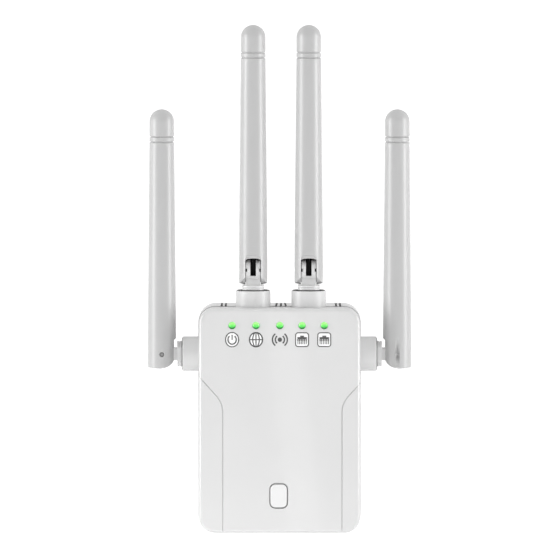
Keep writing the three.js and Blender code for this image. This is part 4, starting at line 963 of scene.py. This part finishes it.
class EXTENDER_OT_antennas(bpy.types.Operator):
    """Make the four antennas: washer (a black ring of painted shade on the collar's rim), base, hinge pins,
    two black pads of painted shade beside the pins, whip sleeve and the lead's bend in the hinge, whose
    near-black also paints the shade in the slot
    """
    bl_idname = "extender.antennas"
    bl_label = "Antennas"

    def execute(self, context):
        finish = context.scene.extender_finish
        self.sizes = context.scene.extender_antenna
        sleeve_skin = moulded_elastomer("moulded elastomer, fine grain", tuple(finish.whips))
        nylon = moulded_abs("moulded nylon, low gloss", tuple(finish.hinges), 0.3)
        steel = drawn_metal("steel wire, drawn and cut", "A4A4A4", 0.45, 0.2 * MM, (1, 1, 1))
        # painted shade: this near-black stands for the shadow at the collars' rims and in the gaps beside the
        # pins, on the washers and the pads
        rubber = matt_plastic("black rubber, painted shade", "161616", 0.3 * MM, 0.7)
        # the lead's own black, made darker still as painted shade for the slots in the hinges
        jacket = matt_plastic("black PVC lead jacket, darkened as painted slot shade", "030303", 0.4 * MM, 0.85)
        brass = drawn_metal("brass tube, drawn", "C9A25C", 0.3, 0.3 * MM, (1, 1, 0.05))
        for antenna in ANTENNAS:
            where = antenna.removeprefix("antenna_")
            collar, whip = frames_of(antenna)
            swivel, arm = antenna + "_swivel", antenna + "_whip"
            # each washer is a black ring of painted shade on its collar's rim
            finish_piece(
                place(self.washer(where), collar), rubber, "casing", "black_rubber", antenna + "_washer")
            finish_piece(
                place(self.base(where), collar), nylon, swivel, "hinge_plastic", antenna + "_base")
            finish_piece(
                place(self.sleeve(where), whip), sleeve_skin, arm, "sleeve_plastic", antenna + "_sleeve")
            for side, sign in (("left", -1), ("right", 1)):
                finish_piece(
                    place(self.pin(where, side, sign), whip), steel, swivel, "steel",
                    f"{antenna}_pin_{side}")
            # black pads of painted shade beside the pins
            finish_piece(place(self.pads(where), collar), rubber, swivel, "black_rubber")
            self.lead_bend(where, collar, whip, jacket, swivel, arm)
            repaint(brass, antenna + "_radiator")
            repaint(jacket, antenna + "_lead")
        return {"FINISHED"}

    def washer(self, where):
        """A thin black ring that stands just proud of the collar's rim: painted shade, standing for the shadow
        in the gap round the base's neck.
        """
        bore, edge, foot, top, ease = 3.6 * MM, 5.7 * MM, -0.3 * MM, 0.14 * MM, 0.04 * MM
        return turned(f"shade_ring_{where}", [
            (bore, foot), (edge, foot), (edge, top - ease), (edge - ease, top), (bore + ease, top),
            (bore, top - ease)], 64, joined=True)

    def base(self, where):
        """Flange, neck, ribbed ring with two flats, and the slotted tongue."""
        ease = 0.12 * MM
        ring, valley, neck, flange = 4.55 * MM, 4.32 * MM, 3.3 * MM, 4.5 * MM
        foot, top = 0.2 * MM, 1.9 * MM
        base = turned(f"hinge_base_{where}", [
            (flange, -4.15 * MM), (flange, -2.55 * MM), (neck, -2.55 * MM), (neck, foot),
            (ring - ease, foot), (ring, foot + ease), (ring, 0.82 * MM), (valley, 0.95 * MM),
            (valley, 1.2 * MM), (ring, 1.33 * MM), (ring, top - ease), (ring - ease, top)], 96)
        half_flat = 7.66 * MM / 2
        flats = [
            block("flat", (min(s * half_flat, s * FAR), -FAR, foot - 0.05 * MM),
                  (max(s * half_flat, s * FAR), FAR, FAR))
            for s in (-1, 1)]
        cut(base, *flats)
        width = self.sizes.tongue_width
        eye, waist = 3.7 * MM, 2.15 * MM
        spread = math.asin(waist / eye)
        sweep = FULL_TURN - 2 * spread
        side = [(waist, 0.5 * MM)]
        for i in range(25):
            angle = -QUARTER_TURN + spread + sweep * i / 24
            side.append((eye * math.cos(angle), PIN_HEIGHT + eye * math.sin(angle)))
        side.append((-waist, 0.5 * MM))
        tongue = loft("tongue", [
            [(x, y * shrink, (z - 5 * MM) * shrink + 5 * MM) for y, z in side]
            for x, shrink in (
                (-width / 2, 0.96), (-width / 2 + ease, 1), (width / 2 - ease, 1), (width / 2, 0.96))])
        join(base, tongue)
        slot_foot = PIN_HEIGHT - 2.1 * MM
        # the notches hold the black pads of painted shade
        notch, tall = 0.47 * MM, 0.55 * MM
        notches = [
            block("notch", (min(s * (width / 2 - notch), s * FAR), -FAR, PIN_HEIGHT - tall),
                  (max(s * (width / 2 - notch), s * FAR), -1 * MM, PIN_HEIGHT + tall))
            for s in (-1, 1)]
        cut(
            base, *notches,
            block("slot", (-1 * MM, -FAR, slot_foot), (1 * MM, FAR, FAR)),
            rod("lead_bore", 1 * MM, (0, 0, -6 * MM), (0, 0, slot_foot + 1 * MM)),
            rod("pin_hole", 0.78 * MM, (-FAR, 0, PIN_HEIGHT), (FAR, 0, PIN_HEIGHT)))
        return base

    def pads(self, where):
        """Two small black pads, set into the tongue's notches in front of the pins: painted shade, standing
        for the shadow in the gaps beside the pins.
        """
        outer, inner = self.sizes.tongue_width / 2 + 0.08 * MM, self.sizes.tongue_width / 2 - 0.45 * MM
        front, back, half_height = -3.85 * MM, -1.05 * MM, 0.53 * MM
        low, high = PIN_HEIGHT - half_height, PIN_HEIGHT + half_height
        return join(*(
            block(f"shade_pads_{where}", (min(s * inner, s * outer), front, low),
                  (max(s * inner, s * outer), back, high))
            for s in (-1, 1)))

    def pin(self, where, side, sign):
        """A short pin with chamfered ends, lying along X from the tongue's slot out through the ear."""
        radius, chamfer = 0.7 * MM, 0.15 * MM
        inner, outer = 1.1 * MM, self.sizes.foot_radius - 0.2 * MM
        pin = turned(f"hinge_pin_{side}_{where}", [
            (radius - chamfer, inner), (radius, inner + chamfer), (radius, outer - chamfer),
            (radius - chamfer, outer)], 32)
        return place(pin, Matrix.Rotation(sign * QUARTER_TURN, 4, "Y"))

    def sleeve(self, where):
        """The whip: tapered, with two rings below a domed cap and a fork cut into its foot."""
        sizes = self.sizes
        taper_start = 7 * MM
        rings = (74.8 * MM, 76.6 * MM)
        slope = (sizes.top_radius - sizes.foot_radius) / (rings[0] - taper_start)

        def radius_at(height):
            return sizes.foot_radius + slope * max(0, height - taper_start)

        profile = [(0.6 * sizes.foot_radius, FORK_END + 0.1 * MM)]
        for depth, inset in end_rings(0.35 * MM, 4):
            profile.append((sizes.foot_radius - inset, FORK_END + 0.4 * MM + depth))
        profile.append((sizes.foot_radius, taper_start))
        lip = 0.25 * MM
        for ring in rings:
            for i in range(13):
                swing = (i / 12 - 0.5) * math.pi
                dip = 0.4 * MM * math.cos(swing) ** 2
                ease = 0.08 * MM * math.sin(2 * swing) ** 2
                profile.append((radius_at(ring) - dip - ease, ring + 2 * lip * swing / math.pi * 1.3))
        cap = radius_at(rings[1])
        for i in range(16):
            angle = QUARTER_TURN * i / 16
            profile.append((cap * math.cos(angle), sizes.tip - cap + cap * math.sin(angle)))
        profile.append((0.02 * cap, sizes.tip))
        sleeve = turned(f"whip_sleeve_{where}", profile, 96)
        cut(sleeve, *self.fork_tools())
        return sleeve

    def fork_tools(self):
        """What is cut from the whip's foot: bore, window, the flat beside it, the ears' round corner, the
        two small pockets and the pin's hole."""
        half = self.sizes.fork_window / 2
        back, top, flat, flat_top = 4 * MM, 4.2 * MM, 4.2 * MM, 5.6 * MM
        window = loft("window", [
            [(x, y, z) for x, z in (
                (-half, -FAR), (half, -FAR), (half, top - 0.5 * MM), (half * 0.6, top - 0.12 * MM),
                (0, top), (-half * 0.6, top - 0.12 * MM), (-half, top - 0.5 * MM))]
            for y in (-FAR, back)])
        curve = 1.2 * MM
        side = [(-FAR, -FAR), (-flat, -FAR)]
        for i in range(9):
            angle = QUARTER_TURN * i / 8
            side.append((
                -flat - curve + curve * math.cos(angle), flat_top - curve + curve * math.sin(angle)))
        side.append((-FAR, flat_top))
        beside = loft("flat", [[(x, y, z) for y, z in side] for x in (-FAR, FAR)])
        corner_radius = 4.8 * MM
        corner = block("corner", (-FAR, -FAR, -FAR), (FAR, 0, 0))
        cut(corner, rod("corner_round", corner_radius, (-2 * FAR, 0, 0), (2 * FAR, 0, 0), 96))
        pocket, pocket_back = 0.8 * MM, -3 * MM
        pockets = block(
            "pockets", (-half - pocket, -FAR, -FAR),
            (half + pocket, pocket_back, FORK_END + pocket + 0.5 * MM))
        return [
            rod("bore", 3.1 * MM, (0, 0, 0), (0, 0, 79 * MM), 48),
            window, beside, corner, pockets,
            rod("pin_hole", 0.8 * MM, (-FAR, 0, 0), (FAR, 0, 0))]

    def lead_bend(self, where, collar, whip, jacket, swivel, arm):
        """The black lead's stretch across the hinge, from the base's bore round the pins and up the whip. It
        is thick enough to fill the tongue's slot, so its near-black also paints the shade in the slot.
        """
        start = collar @ Vector((0, 0, 5 * MM))
        turn = whip @ Vector((0, 0, 0))
        end = whip @ Vector((0, 0, 4.6 * MM))
        # thick enough to fill the slot, where its near-black paints the slot's shade
        radius, steps = 0.94 * MM, 18
        path = []
        for i in range(steps + 1):
            u = i / steps
            path.append(start * (1 - u) ** 2 + turn * 2 * u * (1 - u) + end * u ** 2)
        rings = []
        side = (collar.to_3x3() @ Vector((1, 0, 0))).normalized()
        for i, point in enumerate(path):
            along = (path[min(i + 1, steps)] - path[max(i - 1, 0)]).normalized()
            across = along.cross(side).normalized()
            angles = [FULL_TURN * k / 20 for k in range(20)]
            rings.append([
                point + radius * (math.cos(angle) * side + math.sin(angle) * across) for angle in angles])
        bend = loft(f"lead_bend_{where}", rings)
        bend.data.materials.append(jacket)
        bend.data.shade_smooth()
        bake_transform(bend)


class EXTENDER_OT_plug(bpy.types.Operator):
    """Make the two plug blades, the casing screws and the blank rating label on the back"""
    bl_idname = "extender.plug"
    bl_label = "Back"

    def execute(self, context):
        nickel = drawn_metal("nickel-plated brass, rolled", "CDC8BE", 0.22, 0.25 * MM, (1, 0.06, 1))
        for side in ("left", "right"):
            finish_piece(self.blade(side), nickel, "casing", "plated_brass", "plug_blade_" + side)
        zinc = drawn_metal("zinc-plated steel, cold headed", "A9ABAE", 0.35, 0.4 * MM, (1, 1, 1))
        for i, p in enumerate(SCREW_PLACES):
            finish_piece(self.screw(i + 1, p), zinc, "casing", "steel", f"casing_screw_{i + 1}")
        paper = printed_ink("polyester label film, blank", linear("F4F4F2"))
        low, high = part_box("rating_label")
        centre = (low + high) / 2
        label = slab(
            "label_film", high.x - low.x, high.z - low.z, 1 * MM, low.y, high.y, 0, 0.05 * MM,
            (centre.x, centre.z), 8)
        finish_piece(label, paper, "casing", "blank_label", "rating_label")
        return {"FINISHED"}

    def blade(self, side):
        """A flat blade with eased edges, a chamfered tip and a round hole near it."""
        low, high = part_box("plug_blade_" + side)
        half, tip, ease, chamfer = (high.z - low.z) / 2, high.y, 0.18 * MM, 1.6 * MM
        outline_points = [
            (low.y, -half), (tip - chamfer, -half), (tip, -half + chamfer), (tip, half - chamfer),
            (tip - chamfer, half), (low.y, half)]
        centre_y = (low.y + high.y) / 2
        length = high.y - low.y
        rings = []
        for x, inset in ((low.x, ease), (low.x + ease, 0), (high.x - ease, 0), (high.x, ease)):
            rings.append([
                (x, centre_y + (y - centre_y) * (1 - 2 * inset / length), z * (1 - inset / half))
                for y, z in outline_points])
        blade = loft("plug_prong_" + side, rings)
        radius, bevel, past, from_tip, thick = 1.6 * MM, 0.15 * MM, 1 * MM, 4 * MM, high.x - low.x
        hole = turned("blade_hole", [
            (radius + past, -past), (radius, bevel), (radius, thick - bevel),
            (radius + past, thick + past)], 40)
        place(hole, Matrix.Translation((low.x, tip - from_tip, 0)) @ Matrix.Rotation(QUARTER_TURN, 4, "Y"))
        return cut(blade, hole)

    def screw(self, number, p):
        """A pan-head screw with a tapered cross recess."""
        head_back, head_height, head = -1.9 * MM, 1.6 * MM, 2.5 * MM
        profile = [
            (0.4 * MM, head_back - 10 * MM), (1.15 * MM, head_back - 9 * MM), (1.15 * MM, head_back),
            (head, head_back), (head, head_back + 0.9 * MM)]
        for i in range(1, 6):
            angle = QUARTER_TURN * i / 6
            profile.append((
                head - 0.9 * MM * (1 - math.cos(angle)), head_back + 0.9 * MM + 0.7 * MM * math.sin(angle)))
        profile.append((1.2 * MM, head_back + head_height))
        screw = turned(f"rear_screw_{number}", profile, 48)
        arms = []
        for wide, deep in ((1.5 * MM, 0.35 * MM), (0.35 * MM, 1.5 * MM)):
            top = head_back + head_height + 0.1 * MM
            arms.append(loft("cross", [
                [(x * s, y * s, z) for x, y in ((-wide, -deep), (wide, -deep), (wide, deep), (-wide, deep))]
                for z, s in ((top - 0.9 * MM, 0.55), (top, 1))]))
        cut(screw, *arms)
        return place(screw, Matrix.Translation((p.x, BACK_Y, p.z)) @ Matrix.Rotation(-QUARTER_TURN, 4, "X"))


class EXTENDER_OT_sockets(bpy.types.Operator):
    """Make the two network jacks in the base, with their gold contact springs"""
    bl_idname = "extender.sockets"
    bl_label = "Network Sockets"

    def execute(self, context):
        plastic = matt_plastic("glass-filled PBT, moulded matt", "2B2B2C", 0.35 * MM)
        gold = drawn_metal("gold-plated bronze, drawn", "D9A441", 0.25, 0.1 * MM, (1, 1, 1))
        port_width, port_height, port_length = 11.8 * MM, 7 * MM, 13 * MM
        latch_width, latch_height, latch_length = 6.2 * MM, 2.3 * MM, 9 * MM
        for use in ("wan", "lan"):
            low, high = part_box("rj45_jack_" + use)
            x = (low.x + high.x) / 2
            front = low.y + 1.7 * MM
            jack = slab("jack_housing_" + use, high.x - low.x, high.z - low.z, 0.3 * MM, low.y, high.y,
                        0.15 * MM, 0.15 * MM, (x, (low.z + high.z) / 2), 4)
            mouth = low.z
            port = loft("port", [
                [(x - w, front - e, z), (x + w, front - e, z), (x + w, front + port_height + e, z),
                 (x - w, front + port_height + e, z)]
                for z, w, e in (
                    (mouth - 1 * MM, port_width / 2 + 1.4 * MM, 1.4 * MM),
                    (mouth + 0.4 * MM, port_width / 2, 0),
                    (mouth + port_length, port_width / 2, 0))])
            latch = block(
                "latch", (x - latch_width / 2, front + port_height - 1 * MM, mouth - 1 * MM),
                (x + latch_width / 2, front + port_height + latch_height, mouth + latch_length))
            cut(jack, port, latch)
            finish_piece(jack, plastic, "casing", "black_plastic", "rj45_jack_" + use)
            self.contacts(use, x, front, mouth, gold)
        return {"FINISHED"}

    def contacts(self, use, x, front, mouth, gold):
        """Eight sprung wires that lean into the port from its front wall."""
        pitch, width, thick = 1.02 * MM, 0.42 * MM, 0.18 * MM
        route = [
            (0.12 * MM, 3.2 * MM), (0.3 * MM, 3.6 * MM), (1.6 * MM, 7.4 * MM), (2.0 * MM, 9.6 * MM),
            (2.0 * MM, 12.9 * MM)]
        for i in range(8):
            centre = x + (i - 3.5) * pitch
            rings = []
            for depth, rise in route:
                y, z = front + depth, mouth + rise
                back_y, back_z = y + thick, z - thick * 0.4
                rings.append([
                    (centre - width / 2, y, z), (centre + width / 2, y, z),
                    (centre + width / 2, back_y, back_z), (centre - width / 2, back_y, back_z)])
            wire = loft(f"contact_{use}_{i + 1}", rings)
            finish_piece(wire, gold, "casing", "bare_brass")


class EXTENDER_OT_inside(bpy.types.Operator):
    """Finish the boards, the pieces on them and the two switches, which show only through the vents"""
    bl_idname = "extender.inside"
    bl_label = "Inside"

    def execute(self, context):
        repaint(solder_mask("glass-epoxy board, green solder mask"), "main_board", "power_board")
        repaint(
            matt_plastic("epoxy moulding compound", "1C1C1D", 0.2 * MM),
            "processor", "lan_transformer", "rectifier", "board_header", "wps_switch", "reset_switch")
        repaint(matt_plastic("acetal, moulded", "121212", 0.25 * MM, 0.35), "wps_switch_stem", "reset_plunger")
        repaint(drawn_metal("tin-plated steel, pressed", "C6C6C2", 0.3, 0.5 * MM, (1, 1, 0.1)), "radio_shield")
        repaint(wound_film("polyester tape, wound", "D9B233", 3 * MM, 0.35), "transformer")
        repaint(
            wound_film("PVC shrink sleeve, drawn tight", "22304C", 8 * MM, 0.3),
            "bulk_capacitor", "output_capacitor")
        return {"FINISHED"}


class EXTENDER_OT_stage(bpy.types.Operator):
    """Set the pale floor, the soft lights and the camera"""
    bl_idname = "extender.stage"
    bl_label = "Stage"

    def execute(self, context):
        studio = context.scene.extender_studio
        floor = block("studio_floor", (-60, -60, -0.112), (60, 60, -0.110))
        floor.data.materials.append(
            pale_floor("pale studio floor, matt", tuple(studio.floor), studio.floor_glow))
        world = bpy.data.worlds.new("studio_surround")
        world.use_nodes = True
        tree = world.node_tree
        tree.nodes.clear()
        # the studio is dim in front of the object, brighter behind it, and brightest overhead and low behind
        way = add_node(tree, "ShaderNodeSeparateXYZ", {
            "Vector": (add_node(tree, "ShaderNodeTexCoord"), "Generated")})
        behind = add_node(tree, "ShaderNodeMapRange", {
            "Value": (way, "Y"), "From Min": -0.1, "From Max": 0.3, "To Min": studio.surround,
            "To Max": studio.backdrop})
        overhead = add_node(tree, "ShaderNodeMapRange", {
            "Value": (way, "Z"), "From Min": 0.2, "From Max": 1.0, "To Min": 0.0, "To Max": studio.overhead})
        low_behind = add_node(tree, "ShaderNodeMapRange", {
            "Value": (way, "Y"), "From Min": 0.6, "From Max": 0.95, "To Min": 0.0, "To Max": studio.horizon})
        low_down = add_node(tree, "ShaderNodeMapRange", {
            "Value": (way, "Z"), "From Min": 0.08, "From Max": 0.3, "To Min": 1.0, "To Max": 0.0})
        above = add_node(tree, "ShaderNodeMath", {
            0: (behind, "Result"), 1: (overhead, "Result")}, operation="ADD")
        strength = add_node(tree, "ShaderNodeMath", {
            0: (low_behind, "Result"), 1: (low_down, "Result"), 2: (above, "Value")},
            operation="MULTIPLY_ADD")
        background = add_node(tree, "ShaderNodeBackground", {
            "Color": (1, 1, 1, 1), "Strength": (strength, "Value")})
        add_node(tree, "ShaderNodeOutputWorld", {"Surface": (background, "Background")})
        context.scene.world = world
        # a tall softbox well round to each side puts a soft band down each round piece
        azimuth, softbox_height, softbox_aim, softbox_size = math.radians(72), 0.1, (0, 0, 0.05), (0.36, 0.9)
        for name, side in (("softbox_left", -1), ("softbox_right", 1)):
            self.card(
                context, name, (side * math.sin(azimuth), -math.cos(azimuth), softbox_height), softbox_aim,
                softbox_size, studio.softboxes)
        # two narrow cards whose left edges show in the gloss of the front, and one that lifts its foot
        left_edge, ahead, card_z, card_height, lean = -0.0013, -0.5, -0.038, 0.1, 6
        for name, width in (("front_card", 0.0095), ("front_card_wide", 0.014)):
            card_x = left_edge + width / 2
            self.card(
                context, name, (card_x, ahead, card_z), (card_x, 0, card_z), (width, card_height),
                studio.front_card * width, lean)
        self.card(
            context, "low_card", (-0.03, -0.12, -0.095), (-0.01, -0.02, -0.035), (0.16, 0.03), studio.low_card)
        self.camera(context, studio)
        context.scene.view_settings.view_transform = "Standard"
        context.scene.view_settings.look = "None"
        return {"FINISHED"}

    def card(self, context, name, place_at, aim, size, power, lean=0):
        """A flat soft light, out of the camera's sight."""
        data = bpy.data.lights.new(name, "AREA")
        data.shape = "RECTANGLE"
        data.size, data.size_y = size
        data.energy = power
        light = bpy.data.objects.new(name, data)
        light.location = place_at
        turn = (Vector(aim) - Vector(place_at)).to_track_quat("-Z", "Y").to_matrix()
        light.rotation_euler = (turn @ Matrix.Rotation(math.radians(lean), 3, "Z")).to_euler()
        light.visible_camera = False
        context.scene.collection.objects.link(light)

    def camera(self, context, studio):
        """A long lens a little above level, aimed just right of the object's middle."""
        data = bpy.data.cameras.new("camera")
        data.lens = studio.lens
        data.clip_end = 300
        distance = studio.frame_width * data.lens / data.sensor_width
        aim = Vector((0.17 * MM, SEAM_Y, 49.15 * MM))
        back = Vector((0, -math.cos(studio.elevation), math.sin(studio.elevation)))
        camera = bpy.data.objects.new("camera", data)
        camera.location = aim + back * distance
        camera.rotation_euler = (-back).to_track_quat("-Z", "Y").to_euler()
        context.scene.collection.objects.link(camera)
        context.scene.camera = camera


# ---------------------------------------------------------------- panel and registration

OPERATORS = (
    EXTENDER_OT_stage, EXTENDER_OT_front_cover, EXTENDER_OT_rear_shell, EXTENDER_OT_button,
    EXTENDER_OT_lamps, EXTENDER_OT_symbols, EXTENDER_OT_antennas, EXTENDER_OT_plug,
    EXTENDER_OT_sockets, EXTENDER_OT_inside)
SETTINGS = {
    "extender_casing": ExtenderCasing, "extender_antenna": ExtenderAntenna,
    "extender_finish": ExtenderFinish, "extender_studio": ExtenderStudio}


class EXTENDER_PT_panel(bpy.types.Panel):
    """Lists the extender's pieces and settings"""
    bl_idname = "EXTENDER_PT_panel"
    bl_label = "Wifi Range Extender"
    bl_space_type = "VIEW_3D"
    bl_region_type = "UI"
    bl_category = "Extender"

    def draw(self, context):
        for operator in OPERATORS:
            self.layout.operator(operator.bl_idname)
        for name, group in SETTINGS.items():
            box = self.layout.box()
            for setting in group.__annotations__:
                box.prop(getattr(context.scene, name), setting)


def register():
    for kind in (*SETTINGS.values(), *OPERATORS, EXTENDER_PT_panel):
        bpy.utils.register_class(kind)
    for name, group in SETTINGS.items():
        setattr(bpy.types.Scene, name, PointerProperty(type=group))


def unregister():
    for name in SETTINGS:
        delattr(bpy.types.Scene, name)
    for kind in reversed((*SETTINGS.values(), *OPERATORS, EXTENDER_PT_panel)):
        bpy.utils.unregister_class(kind)


def main():
    register()
    for operator in OPERATORS:
        group, name = operator.bl_idname.split(".")
        getattr(getattr(bpy.ops, group), name)()


if __name__ == "__main__":
    main()
